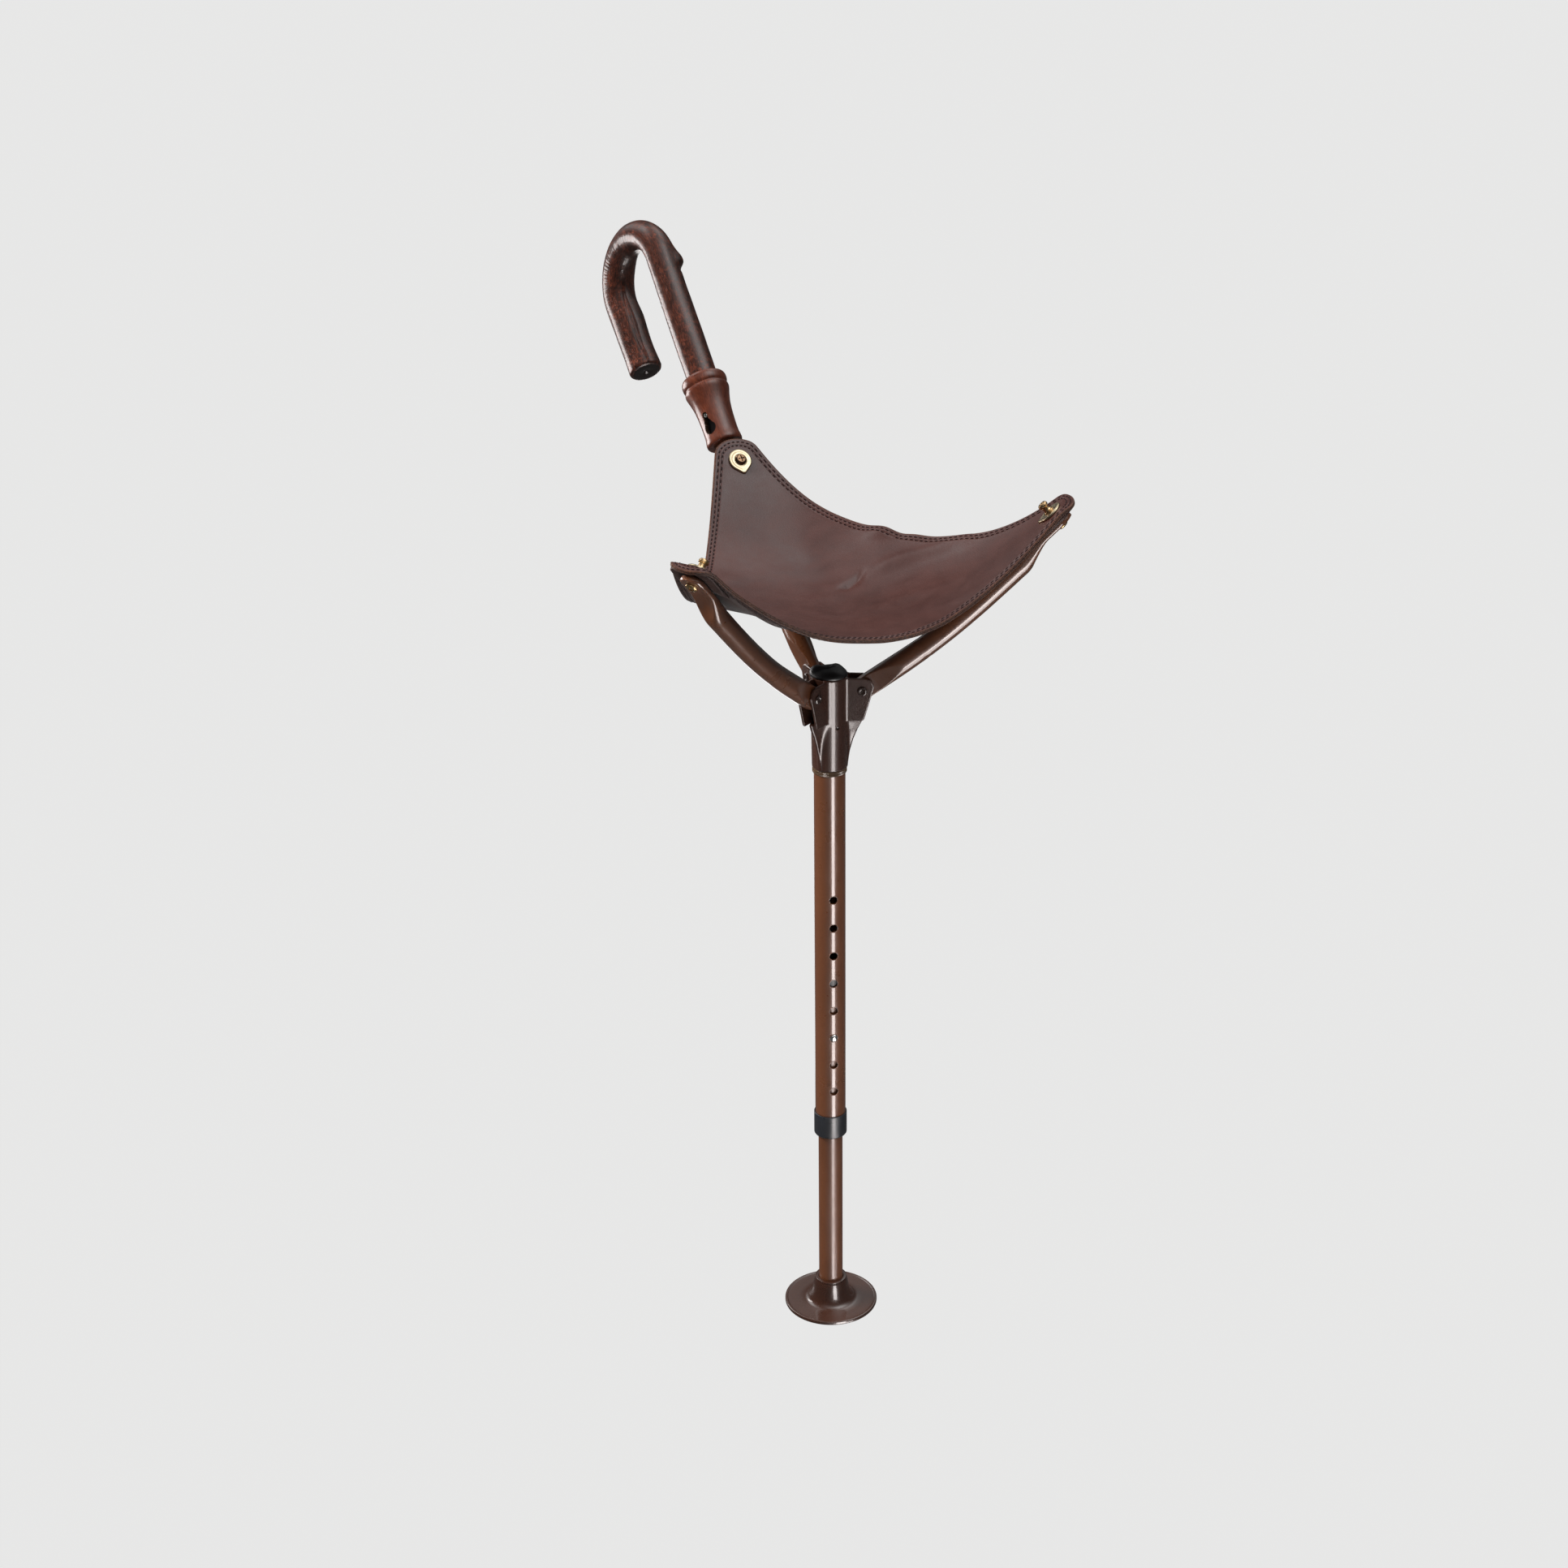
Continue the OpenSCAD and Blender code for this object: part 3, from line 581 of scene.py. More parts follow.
# ------------------------------------------------------------------ foot and leg
def build_leg():
    flare = curve([(30, 3.0), (25, 3.05), (21.6, 3.5), (19.2, 5.0), (17.5, 7.6), (16.2, 11.2), (15.2, 15.4), (14.4, 19.4),
                   (13.6, 22.3), (13.2, 23.3)], 5)
    prof = ([(0, 0), (30, 0), (36.2, 0)] + fillet([(36.2, 0, 0), (39, 0, 1.7), (39, 3.5, 1.5), (37.3, 3.5, .9),
                                                  (36.4, 3.0, .8), (32, 3.0, 0)], 6) + flare
            + fillet([(13.2, 23.2, 0), (13.0, 23.5, .1), (13.35, 24.1, .3), (13.1, 24.9, 0.4), (10.9, 25.0, .4), (10.12, 24.7, .1), (10.08, 22, 0)], 4)
            + [(10.08, 3.2), (0, 3.2)])
    stand(lathe("foot_plate_turned", prof, segs=144, mats=[M_FOOT]), "foot_plate", "lower_leg")
    dress("inner_tube", M_LOWER)
    dress("inner_guide", M_BLACK)
    dress("outer_tube", M_TUBE)
    # V spring: its leg on the button's side gives way as the button goes in
    outer = [(6.3, 8), (6.3, -6), (1.2, -34), (-1.2, -34), (-7.9, -4), (-7.9, 2)]
    inner = [(5.5, 8), (5.5, -6), (0.6, -33), (-0.6, -33), (-7.1, -4), (-7.1, 2)]
    strip = []
    for i in range(5):
        for f in np.linspace(0, 1, 9)[(1 if i else 0):]:
            (xo, zo), (xi, zi) = (np.array(q[i]) * (1 - f) + np.array(q[i + 1]) * f for q in (outer, inner))
            strip += [(xo, -3, zo), (xo, 3, zo), (xi, 3, zi), (xi, -3, zi)]
    n = len(strip) // 4
    faces = grid(n, 4) + [(3, 2, 1, 0), tuple(4 * (n - 1) + i for i in range(4))]
    spring = piece("snap_spring_flexing", put(strip, rot("z", -73) @ move(0, 0, 261.3)), faces, [M_SPRING], sharp=30)
    tidy(spring)
    spring.data.shade_smooth()
    spring.data.set_sharp_from_angle(angle=rad(30))
    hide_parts("snap_spring")
    c, s = math.cos(rad(-73)) * MM, math.sin(rad(-73)) * MM
    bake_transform(spring)
    bush = ([(10.06, 167.0)] + fillet([(10.06, 167.0, 0), (10.5, 166.5, .3), (12.8, 166.5, .4), (13.5, 167.5, .6), (13.5, 186.0, .0)], 4)
            + fillet([(13.5, 186.2, 0), (13.5, 187, .45), (12.62, 187, .25), (12.5, 186.4, .15), (10.98, 186.4, 0)], 4)
            + [(10.98, 187.1), (10.98, 204), (10.06, 204)])
    stand(lathe("end_bush_moulded", bush, segs=120, mats=[M_BUSH], closed=True), "end_bush", "upper_leg")
    # snap button: a domed cap on a short stem
    hole = rot("z", -73) @ move(0, 0, 261.3) @ rot("y", 90)
    dome = [(0, 6.4)] + fillet([(0, 6.4, 0), (3.8, 6.4, .2), (3.8, 7.3, .2), (3.15, 7.35, .1), (3.15, 12.6, 0)], 3) \
        + [(3.15 * math.cos(t), 12.6 + 1.6 * math.sin(t)) for t in np.linspace(0.12, math.pi / 2 - .001, 10)] + [(0, 14.2)]
    stand(lathe("snap_button_domed", dome, hole, 48, [M_CHROME]), "snap_button", "height_button")
    # thin burr ring round each height hole, where the enamel has built up
    pts, faces = [], []
    for i in range(8):
        z0 = 261.3 + (5 - i) * 25
        base = len(pts)
        n, k = 48, 8
        for a in np.arange(n) * 2 * math.pi / n:
            for b in np.arange(k) * 2 * math.pi / k:
                rr = 3.62 + 0.30 * math.cos(b)
                y, zz = rr * math.cos(a), rr * math.sin(a)
                x = math.sqrt(12.5 ** 2 - y * y) + 0.02 + 0.20 * math.sin(b)
                pts.append((x, y, z0 + zz))
        for u in range(n):
            for v in range(k):
                faces.append((base + u * k + v, base + u * k + (v + 1) % k, base + ((u + 1) % n) * k + (v + 1) % k,
                              base + ((u + 1) % n) * k + v))
    o = piece("hole_rims", put(pts, rot("z", -73)), faces, [M_TUBE], sharp=None)
    tidy(o)
    o.data.shade_smooth()
    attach(o, "upper_leg")


EAR = [(10, 574.2), (28.4, 574.2), (31.2, 573.4), (33.4, 571.3), (34.9, 567.2), (27.4, 540.6), (26.3, 539.2), (10, 538.6)]
KEEL = [(498, 13.2), (503.5, 14.3), (512, 16.0), (521.5, 18.6), (530, 22.0), (536.5, 25.2), (542, 27.2)]
WIDE = [(498, 0.5), (503, 1.1), (512, 1.8), (522, 2.9), (531, 4.7), (538, 6.5), (542, 6.9)]


def poly_dist(x, z, poly):
    """Signed distance to a convex polygon given clockwise or anticlockwise, negative inside."""
    p = np.array(poly, float)
    q = np.roll(p, -1, 0)
    c = p.mean(0)
    d = np.full(len(x), -1e9)
    for a, b in zip(p, q):
        e = b - a
        n = np.array([e[1], -e[0]]) / np.linalg.norm(e)
        if n @ (c - a) > 0:
            n = -n
        d = np.maximum(d, (x - a[0]) * n[0] + (z - a[1]) * n[1])
    return d


def soft_min(a, b, k):
    h = np.clip(0.5 + 0.5 * (b - a) / k, 0, 1)
    return b * (1 - h) + a * h - k * h * (1 - h)


def soft_max(a, b, k):
    return -soft_min(-a, -b, k)


def hub_dist(p):
    """Signed distance to the cast hub before its bores are drilled."""
    r = np.hypot(p[:, 0], p[:, 1])
    z = p[:, 2]
    outer = np.interp(z, [497, 499, 526, 575], [13.3, 13.9, 14.35, 14.4])
    d = soft_max(r - outer, soft_max(498.0 - z, z - 574.4, 0.8), 0.9)
    for az in AZ.values():
        c, s_ = math.cos(rad(az)), math.sin(rad(az))
        x, y = p[:, 0] * c + p[:, 1] * s_, np.abs(-p[:, 0] * s_ + p[:, 1] * c)
        plate = soft_max(poly_dist(x, z, EAR), np.abs(y - 5.9) - 1.0, 0.7)
        keel, wide = np.interp(z, [k[0] for k in KEEL], [k[1] for k in KEEL]), np.interp(z, [k[0] for k in WIDE], [k[1] for k in WIDE])
        t = np.clip((x - 12.5) / np.maximum(keel - 12.5, 0.5), -1, 1.4)
        half = wide + (np.minimum(1.0, wide) - wide) * t
        web = soft_max((y - half) * 0.93, soft_max((x - keel) * 0.88, soft_max(498.5 - z, z - 541.5, 0.6), 0.5), 0.9)
        web = soft_max(web, 10.5 - x, 0.5)
        d = soft_min(d, soft_min(plate, web, 0.5), 2.4)
    return d


def build_hub_body():
    parts, faces = [], []

    def add(pts, fs):
        b = sum(len(q) for q in parts)
        parts.append(np.asarray(pts, float))
        faces.extend([tuple(b + i for i in f) for f in fs])
    n = 64
    th = np.arange(n) * 2 * math.pi / n
    rows = [np.c_[r * np.cos(th), r * np.sin(th), np.full(n, z)] for r, z in ((13.4, 498), (13.9, 500), (14.4, 526), (14.4, 574.4))]
    add(np.vstack(rows), [tuple(range(n))[::-1]] + grid(4, n) + [tuple(range(3 * n, 4 * n))])
    box = [(0, 3, 2, 1), (4, 5, 6, 7), (0, 1, 5, 4), (1, 2, 6, 5), (2, 3, 7, 6), (3, 0, 4, 7)]
    for az in AZ.values():
        m = rot("z", az)
        for sgn in (1, -1):
            ne = len(EAR)
            pts = [(x, sgn * 5.9 + h, z) for h in (-1.0, 1.0) for x, z in EAR]
            add(put(pts, m), [tuple(range(ne))[::-1], tuple(range(ne, 2 * ne))] + [(i, (i + 1) % ne, ne + (i + 1) % ne, ne + i) for i in range(ne)])
        for (z0, k0), (z1, k1), (_, w0), (_, w1) in zip(KEEL[:-1], KEEL[1:], WIDE[:-1], WIDE[1:]):
            z1 = min(z1, 541.5) + 0.2
            z0 = max(z0, 498.5)
            pts = [(10.5, -w0, z0), (k0, -0.9, z0), (k0, 0.9, z0), (10.5, w0, z0), (10.5, -w1, z1), (k1, -0.9, z1), (k1, 0.9, z1), (10.5, w1, z1)]
            add(put(pts, m), box)
    o = piece("hub_cast", np.vstack(parts), faces, [M_HUB], smooth=False)
    bm = bmesh.new()
    bm.from_mesh(o.data)
    seen = set()
    for f in list(bm.faces):
        if f in seen:
            continue
        island, stack = [], [f]
        while stack:
            g = stack.pop()
            if g in seen:
                continue
            seen.add(g)
            island.append(g)
            stack += [h for e in g.edges for h in e.link_faces if h not in seen]
        bmesh.ops.recalc_face_normals(bm, faces=island)
    bm.to_mesh(o.data)
    bm.free()
    mod = o.modifiers.new("remesh", "REMESH")
    mod.mode = "VOXEL"
    mod.voxel_size = 0.55 * MM
    bpy.context.view_layer.update()
    apply_modifiers(o)
    me = o.data
    co = np.empty(len(me.vertices) * 3)
    me.vertices.foreach_get("co", co)
    v = co.reshape(-1, 3) / MM
    e = 0.05
    for step in range(6):
        d = hub_dist(v)
        g = np.stack([hub_dist(v + e * np.eye(3)[i]) - hub_dist(v - e * np.eye(3)[i]) for i in range(3)], -1) / (2 * e)
        g /= np.maximum(np.linalg.norm(g, axis=1, keepdims=True), 0.3)
        v = v - g * np.clip(d, -0.6, 0.6)[:, None] * 0.9
    me.vertices.foreach_set("co", (v * MM).ravel())
    me.update()
    # drill: the leg's bore, the bore above it, three rivet holes and the pin hole
    drills = [("z", [(0, 480), (12.52, 480), (12.52, 560), (10.4, 560.1), (10.4, 590), (0, 590)], np.eye(4), 96),
              ("p", [(0, 5), (1.52, 5), (1.52, 22), (0, 22)], rot("z", -60) @ move(0, 0, 535) @ rot("y", 90), 32)]
    for k in "abc":
        drills.append(("r", [(0, -12), (3.02, -12), (3.02, 12), (0, 12)], rot("z", AZ[k]) @ move(PIVOT_R, 0, PIVOT_Z) @ rot("x", 90), 48))
    for _, prof, m, seg in drills:
        cut(o, lathe("cutter", prof, m, seg, sharp=None))
    o.data.shade_smooth()
    o.data.set_sharp_from_angle(angle=rad(44))
    stand(o, "hub_body", "upper_leg")


def build_hub():
    build_hub_body()
    ribs = 90
    ring = [(12.52, 493.7), (13.0, 493.6), (13.45, 494.1), (13.55, 494.8), (13.45, 495.4), (13.1, 495.7), (13.45, 496.0), (13.55, 496.7),
            (13.45, 497.4), (13.0, 497.95), (12.52, 498.0)]
    stand(lathe("hub_ring_knurled", ring, segs=ribs * 4, mats=[M_RING], closed=True,
                wobble=lambda r, z, th: (0.13 * np.cos(ribs * th) if r > 12.9 else 0 * th)),
          "hub_ring", "upper_leg")
    n_th = 144
    th = np.arange(n_th) * 2 * math.pi / n_th
    ear = 0.6 * np.exp(-(((th - math.pi) / rad(27)) ** 2)) + 0.30 * np.exp(-(((th - rad(60)) / rad(26)) ** 2)) + 0.12 * np.exp(-(((th - rad(300)) / rad(24)) ** 2))
    reach = 13.9 + 2.6 * ear
    rows = [np.c_[np.full(n_th, .0), np.full(n_th, .0), np.full(n_th, 561.0)], np.c_[10.3 * np.cos(th), 10.3 * np.sin(th), np.full(n_th, 561.0)],
            np.c_[10.3 * np.cos(th), 10.3 * np.sin(th), np.full(n_th, 574.45)]]
    for f, z in ((0.97, 574.45), (1.0, 574.9), (1.005, 576.0), (0.985, 577.2), (0.93, 578.4), (0.84, 579.6), (0.70, 580.6), (0.5, 581.2),
                 (0.3, 581.4), (0.0, 581.4)):
        r = reach * f
        lift = 2.2 * ear * float(smoothstep(574.9, 579.5, z)) * smoothstep(0.12, 0.75, f)
        drop = -1.4 * smoothstep(0.5, 0.1, ear) * float(smoothstep(574.9, 580, z))
        rows.append(np.c_[r * np.cos(th), r * np.sin(th), z + lift + drop])
    o = piece("hub_cap_moulded", np.vstack(rows), grid(len(rows), n_th), [M_BLACK], sharp=None)
    tidy(o, 2e-6)
    o.data.shade_smooth()
    o.data.set_sharp_from_angle(angle=rad(50))
    stand(o, "hub_cap", "upper_leg")
    pin = [(0, 9.8), (1.5, 9.8), (1.5, 13.1)] + fillet([(1.5, 13.0, 0), (1.5, 13.6, .4), (0.7, 13.55, .2), (0, 13.2, 0)], 3)
    stand(lathe("hub_pin_rolled", pin, rot("z", -60) @ move(0, 0, 535) @ rot("y", 90), 32, [M_RIVET]),
          "hub_pin", "upper_leg")
    head = fillet([(0.0, 0.75, 0), (1.3, 0.75, .3), (1.75, 0.1, .3), (3.0, 0.0, .8), (3.8, 0.7, .6), (3.8, 1.4, .1), (3.0, 1.4, 0)], 4)
    rivet = head + [(r, 16.6 - z) for r, z in head[::-1]]
    for k in "abc":
        m = rot("z", AZ[k]) @ move(PIVOT_R, 0, PIVOT_Z) @ rot("x", 90) @ move(0, 0, -8.3)
        stand(lathe("pivot_rivet_" + k, rivet, m, 48, [M_RIVET]), "pivot_pin_" + k, "upper_leg")


# ------------------------------------------------------------------ arms
def arm_point(l):
    """Centreline in the arm's plane at l millimetres beyond the pivot: (radius, height, slope)."""
    if l < 30:
        a = rad(A1)
        return PIVOT_R + l * math.cos(a), PIVOT_Z + l * math.sin(a), a
    if l < 30 + ARC:
        a = rad(A1) + (l - 30) / BEND
        return BC[0] + BEND * math.sin(a), BC[1] - BEND * math.cos(a), a
    a = rad(A2)
    d = l - 30 - ARC
    return B2[0] + d * SX, B2[1] + d * SZ, a


def ring_of(at, an, rc, cn=0.0, dish=0.0, q=12):
    """Rounded rectangle: half width at across the arm, half height an, corner radius rc, raised by cn."""
    rc = max(min(rc, at, an), 0.02)
    out = []
    for c, (su, sn) in enumerate(((1, 1), (-1, 1), (-1, -1), (1, -1))):
        for i in range(q + 1):
            t = rad(90 * c + 90 * i / q)
            u = su * (at - rc) + rc * math.cos(t)
            n = sn * (an - rc) + rc * math.sin(t)
            out.append((u, n))
        # points along the flat to the next corner
        u0, n0 = out[-1]
        nc = (c + 1) % 4
        su2, sn2 = ((1, 1), (-1, 1), (-1, -1), (1, -1))[nc]
        t = rad(90 * nc)
        u1, n1 = su2 * (at - rc) + rc * math.cos(t), sn2 * (an - rc) + rc * math.sin(t)
        for i in range(1, 6):
            out.append((u0 + (u1 - u0) * i / 6, n0 + (n1 - n0) * i / 6))
    out = np.array(out)
    if dish:
        low = out[:, 1] < 0
        out[low, 1] += dish * np.clip(1 - (out[low, 0] / (0.78 * at)) ** 2, 0, 1) ** 1.5
    out[:, 1] += cn
    return out


def build_arm(k):
    end = 30 + ARC + TIP[k]
    ls = list(-9.2 * np.cos(np.linspace(0, math.pi / 2, 12))) + list(np.arange(1.5, 48, 1.5)) \
        + list(np.arange(48, end - 50, 4.0))
    if k == "a":
        stop = end + COLLAR_AT + 44
        # the ring at 8.5 mm past the collar's lower edge is where the painted-shade black begins
        ls += sorted(list(np.arange(end - 50, stop, 4.0)) + [end + COLLAR_AT + 8.5, stop])
    else:
        ls += list(np.arange(end - 50, end, 1.0)) + list(end + 10 * np.sin(np.linspace(0, math.pi / 2, 14)))
    rings, faces = [], []
    for l in ls:
        s = float(smoothstep(11, 40, l))
        at, an, rc, cn, dish = 4.5 + 4.5 * s, 9.2 - 0.2 * s, 2.6 + 6.4 * s, 0.0, 0.0
        if l < 0:
            an = math.sqrt(max(9.2 ** 2 - l * l, 0.0004))
        if k != "a":
            f = float(smoothstep(end - 46, end - 13, l))
            slim = 0.55 * float(smoothstep(30, 70, l))
            at, an, rc = at - slim, an - slim, rc - slim
            up = 2.7 * float(smoothstep(end - 150, end - 42, l))
            at, an, rc, cn = at + (10 - at) * f, an + (2.5 - an) * f, rc + (2.2 - rc) * f ** 0.7, up + (6.5 - up) * f
            dish = 2.4 * float(smoothstep(end - 40, end - 24, l)) * (1 - float(smoothstep(end - 6, end + 4, l)))
            dish = min(dish, 2 * an - 2.4)
            if l > end:
                at = math.sqrt(max(100 - (l - end) ** 2, 0.0004))
        r, z, a = arm_point(l)
        sec = ring_of(at, an, rc, cn, dish)
        if l < 60:
            h = 4.5 + 4.9 * min(max(l - 12, 0) / 27, 1)
            full = 9.0 - (0.0 if k == "a" else 0.55 * float(smoothstep(30, 70, l)))
            t = np.arange(len(sec)) * 2 * math.pi / len(sec)
            u, v = full * np.cos(t), (an if l < 0 else full + 0.2 * (1 - s)) * np.sin(t)
            if l < 0:
                u = np.where(np.abs(v) < an, np.sign(np.cos(t)) * np.minimum(np.abs(u), h), u)
            sec = np.c_[np.sign(u) * soft_min(np.abs(u), np.full(len(u), h), 0.35), v]
        rings.append(np.c_[r - sec[:, 1] * math.sin(a), sec[:, 0], z + sec[:, 1] * math.cos(a)])
    n = len(rings[0])
    pts = np.vstack(rings)
    faces = grid(len(rings), n)
    faces += [tuple(range(n))[::-1], tuple((len(rings) - 1) * n + i for i in range(n))]
    # faces from 8.5 mm past the collar's lower edge, and the end cap, take the painted-shade black instead of the
    # enamel
    inside = [0 if k != "a" or i // n >= len(ls) - 1 or ls[i // n] < end + COLLAR_AT + 8.4 else 1 for i in range(len(faces))]
    if k == "a":
        inside[-1] = 1
    o = piece("arm_tube_" + k, put(pts, at_arm(k)), faces, [M_TUBE, M_SHADE_BLACK] if k == "a" else [M_TUBE], inside, sharp=None)
    tidy(o, 3e-6)
    o.data.shade_smooth()
    o.data.set_sharp_from_angle(angle=rad(50))
    stand(o, "arm_" + k, BODY[k])


# ------------------------------------------------------------------ leather seat
LOW, EDGE_R, BACK, SAG = 634.0, 95.0, 19.0, 3.0
MID_R = {60: 95.0, 180: 99.0, 300: 114.5}
DROOP = {"a": 0.014, "b": 0.045, "c": 0.030}
T46 = math.tan(rad(A2))
COR = {}
for _k in "abc":
    _x, _z = tip_xz(_k)
    _r, _h = _x - SHEET_MID * SZ, _z + SHEET_MID * SX - LOW
    COR[_k] = (_r, (3 * _h - T46 * _r) / _r ** 2, (T46 * _r - 2 * _h) / _r ** 3)


def hump(d):
    d = (np.asarray(d, float) + 180) % 360 - 180
    return np.where(np.abs(d) < 60, 0.5 * (1 + np.cos(np.radians(3 * d))), 0)


def near_line(x, y, pts, width, taper=0.0):
    """1 on the line through pts, falling off over width; the line's own two ends fade over taper."""
    best = np.zeros_like(x)
    pts = np.array(curve(pts, 5))
    seg = np.r_[0, np.cumsum(np.linalg.norm(np.diff(pts, axis=0), axis=1))]
    for i in range(len(pts) - 1):
        a, d = pts[i], pts[i + 1] - pts[i]
        t = np.clip(((x - a[0]) * d[0] + (y - a[1]) * d[1]) / (d @ d), 0, 1)
        dist = np.hypot(x - a[0] - t * d[0], y - a[1] - t * d[1])
        g = np.exp(-(dist / width) ** 2)
        if taper:
            along = seg[i] + t * (seg[i + 1] - seg[i])
            g = g * np.clip(np.minimum(along, seg[-1] - along) / taper, 0, 1)
        best = np.maximum(best, g)
    return best


def relief(x, y):
    """What use has done to the hide: the hollow, its creases and the ridges pulled between the corners."""
    out = -3.2 * near_line(x, y, [(24, 45), (21, 38), (15, 29), (7, 21)], 4.2, 9)
    out += -1.6 * np.exp(-((x - 15) ** 2 + (y - 36) ** 2) / 20 ** 2)
    out += 2.6 * near_line(x, y, [(26, 36), (37, 44), (50, 49), (65, 51), (98, 49), (118, 40)], 8.5, 18)
    out += 0.8 * near_line(x, y, [(-60, 92), (-30, 66), (0, 48)], 12, 20)
    out += 2.2 * np.exp(-((x - 33) ** 2 / 11 ** 2 + (y - 84) ** 2 / 8 ** 2))
    out += -1.0 * np.exp(-((x - 52) ** 2 / 9 ** 2 + (y - 78) ** 2 / 9 ** 2))
    out += -1.6 * np.exp(-((x + 18) ** 2 + (y - 65) ** 2) / 17 ** 2)
    out += -1.1 * near_line(x, y, [(40, -30), (70, -22), (98, -14)], 12, 20)
    out += -0.9 * near_line(x, y, [(-30, -52), (-10, -44), (20, -42), (48, -36)], 9, 22)
    out += 0.9 * near_line(x, y, [(-70, -20), (-76, 10), (-74, 40)], 11, 22)
    wave = np.array([noise.noise(Vector((a * 0.021, b * 0.021, 4.2))) * 1.5 + noise.noise(Vector((a * 0.055, b * 0.055, 9.1))) * 0.45
                     for a, b in zip(x.ravel(), y.ravel())]).reshape(x.shape)
    return (out + wave) * smoothstep(136, 108, np.hypot(x, y))


GRID = 1.5
_gx, _gy = np.meshgrid(np.arange(-160.5, 160.6, GRID), np.arange(-160.5, 160.6, GRID), indexing="ij")
RELIEF = relief(_gx, _gy)


def relief_at(x, y):
    """The relief by cubic interpolation of its grid."""
    u, v = np.clip((x + 160.5) / GRID, 1, len(RELIEF) - 3.001), np.clip((y + 160.5) / GRID, 1, len(RELIEF) - 3.001)
    i, j = u.astype(int), v.astype(int)

    def weights(t):
        return (-0.5 * t + t * t - 0.5 * t ** 3, 1 - 2.5 * t * t + 1.5 * t ** 3, 0.5 * t + 2 * t * t - 1.5 * t ** 3, -0.5 * t * t + 0.5 * t ** 3)
    wu, wv = weights(u - i), weights(v - j)
    return sum(wu[a] * wv[b] * RELIEF[i + a - 1, j + b - 1] for a in range(4) for b in range(4))


def sheet_z(x, y):
    x, y = np.atleast_1d(np.asarray(x, float)), np.atleast_1d(np.asarray(y, float))
    r, p = np.hypot(x, y), np.degrees(np.arctan2(y, x))
    w = hump(p - 120)
    q = COR["b"][1] + (COR["a"][1] - COR["b"][1]) * w
    c = COR["b"][2] + (COR["a"][2] - COR["b"][2]) * w
    z = LOW + q * r * r + c * r ** 3 * np.cos(np.radians(3 * p)) + (r / EDGE_R) ** 2 * (BACK * hump(p - 60) - SAG * hump(p - 304))
    for k in "abc":
        d = math.cos(rad(AZ[k])) * x + math.sin(rad(AZ[k])) * y
        t = np.clip((d - COR[k][0]) / SX - 6, 0, None)
        z = z - DROOP[k] * np.where(t < 11, t * t, 22 * t - 121)
        if k == "b":
            e = -math.sin(rad(AZ[k])) * x + math.cos(rad(AZ[k])) * y
            z = z - 5.0 * smoothstep(8, 30, e) * smoothstep(70, 118, d)
    return z + relief_at(x, y)


def sheet_n(x, y, e=0.4):
    gx = (sheet_z(x + e, y) - sheet_z(x - e, y)) / (2 * e)
    gy = (sheet_z(x, y + e) - sheet_z(x, y - e)) / (2 * e)
    n = np.stack([-gx, -gy, np.ones_like(gx)], -1)
    return n / np.linalg.norm(n, axis=-1, keepdims=True)


def half_outline(k, side, n_lobe=30, n_edge=90):
    """Plan outline of half a corner in its own frame, from the outermost point to the middle of the edge on that side."""
    lx, ll = COR[k][0] + 4.1 * SX, (12.5 if k == "a" else 13.6)
    pts = [(lx + ll * math.cos(rad(66 * i / n_lobe)), 19.5 * math.sin(rad(66 * i / n_lobe))) for i in range(n_lobe + 1)]
    ex, ey = pts[-1]
    edge = int(AZ[k] + 60 * side) % 360
    at, reach = (rad(60 + 8 * side), 8) if edge == 300 else (rad(60), 40)
    lead = (31, 25) if k == "b" and edge == 300 else (0.866 * 40, 20)
    mx, my = MID_R[edge] * math.cos(at), MID_R[edge] * math.sin(at)
    for i in range(1, n_edge + 1):
        t = i / n_edge
        w = ((1 - t) ** 3, 3 * t * (1 - t) ** 2, 3 * t * t * (1 - t), t ** 3)
        pts.append((w[0] * ex + w[1] * (ex - lead[0]) + w[2] * (mx + 0.866 * reach) + w[3] * mx,
                    w[0] * ey + w[1] * (ey + lead[1]) + w[2] * (my - 0.5 * reach) + w[3] * my))
    return np.array(pts)


STEP = 1.15


def outline(k):
    """The whole outline of one corner in the row frame, anticlockwise, and its outward plan normals."""
    p = np.vstack([(half_outline(k, -1) * [1, -1])[::-1], half_outline(k, 1)[1:]])
    seg = np.r_[0, np.cumsum(np.linalg.norm(np.diff(p, axis=0), axis=1))]
    n = 2 * int(round(seg[-1] / 2 / STEP))
    s = np.linspace(0, seg[-1], n + 1)
    p = np.c_[np.interp(s, seg, p[:, 0]), np.interp(s, seg, p[:, 1])]
    d = np.gradient(p, axis=0)
    d /= np.linalg.norm(d, axis=1, keepdims=True)
    for _ in range(3):
        d[1:-1] = (d[:-2] + 2 * d[1:-1] + d[2:]) / 4
        d /= np.linalg.norm(d, axis=1, keepdims=True)
    # at both ends the outline crosses the seam square to it, so neighbours meet
    for e, ang in ((0, -60), (-1, 60)):
        d[e] = (-math.sin(rad(ang)), math.cos(rad(ang)))
    o = np.c_[d[:, 1], -d[:, 0]]
    a = rad(AZ[k])
    R = np.array([[math.cos(a), -math.sin(a)], [math.sin(a), math.cos(a)]])
    return p @ R.T, o @ R.T, s


def on_sheet(x, y, h):
    """Points h millimetres above the middle surface over plan points."""
    return np.c_[x, y, sheet_z(x, y)] + sheet_n(x, y) * np.asarray(h, float).reshape(-1, 1)


def blend_arm(o, k):
    a = rad(AZ[k])
    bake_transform(o)
    return o


PITCH = 4.4
ROWS_IN = (2.9, 5.7)


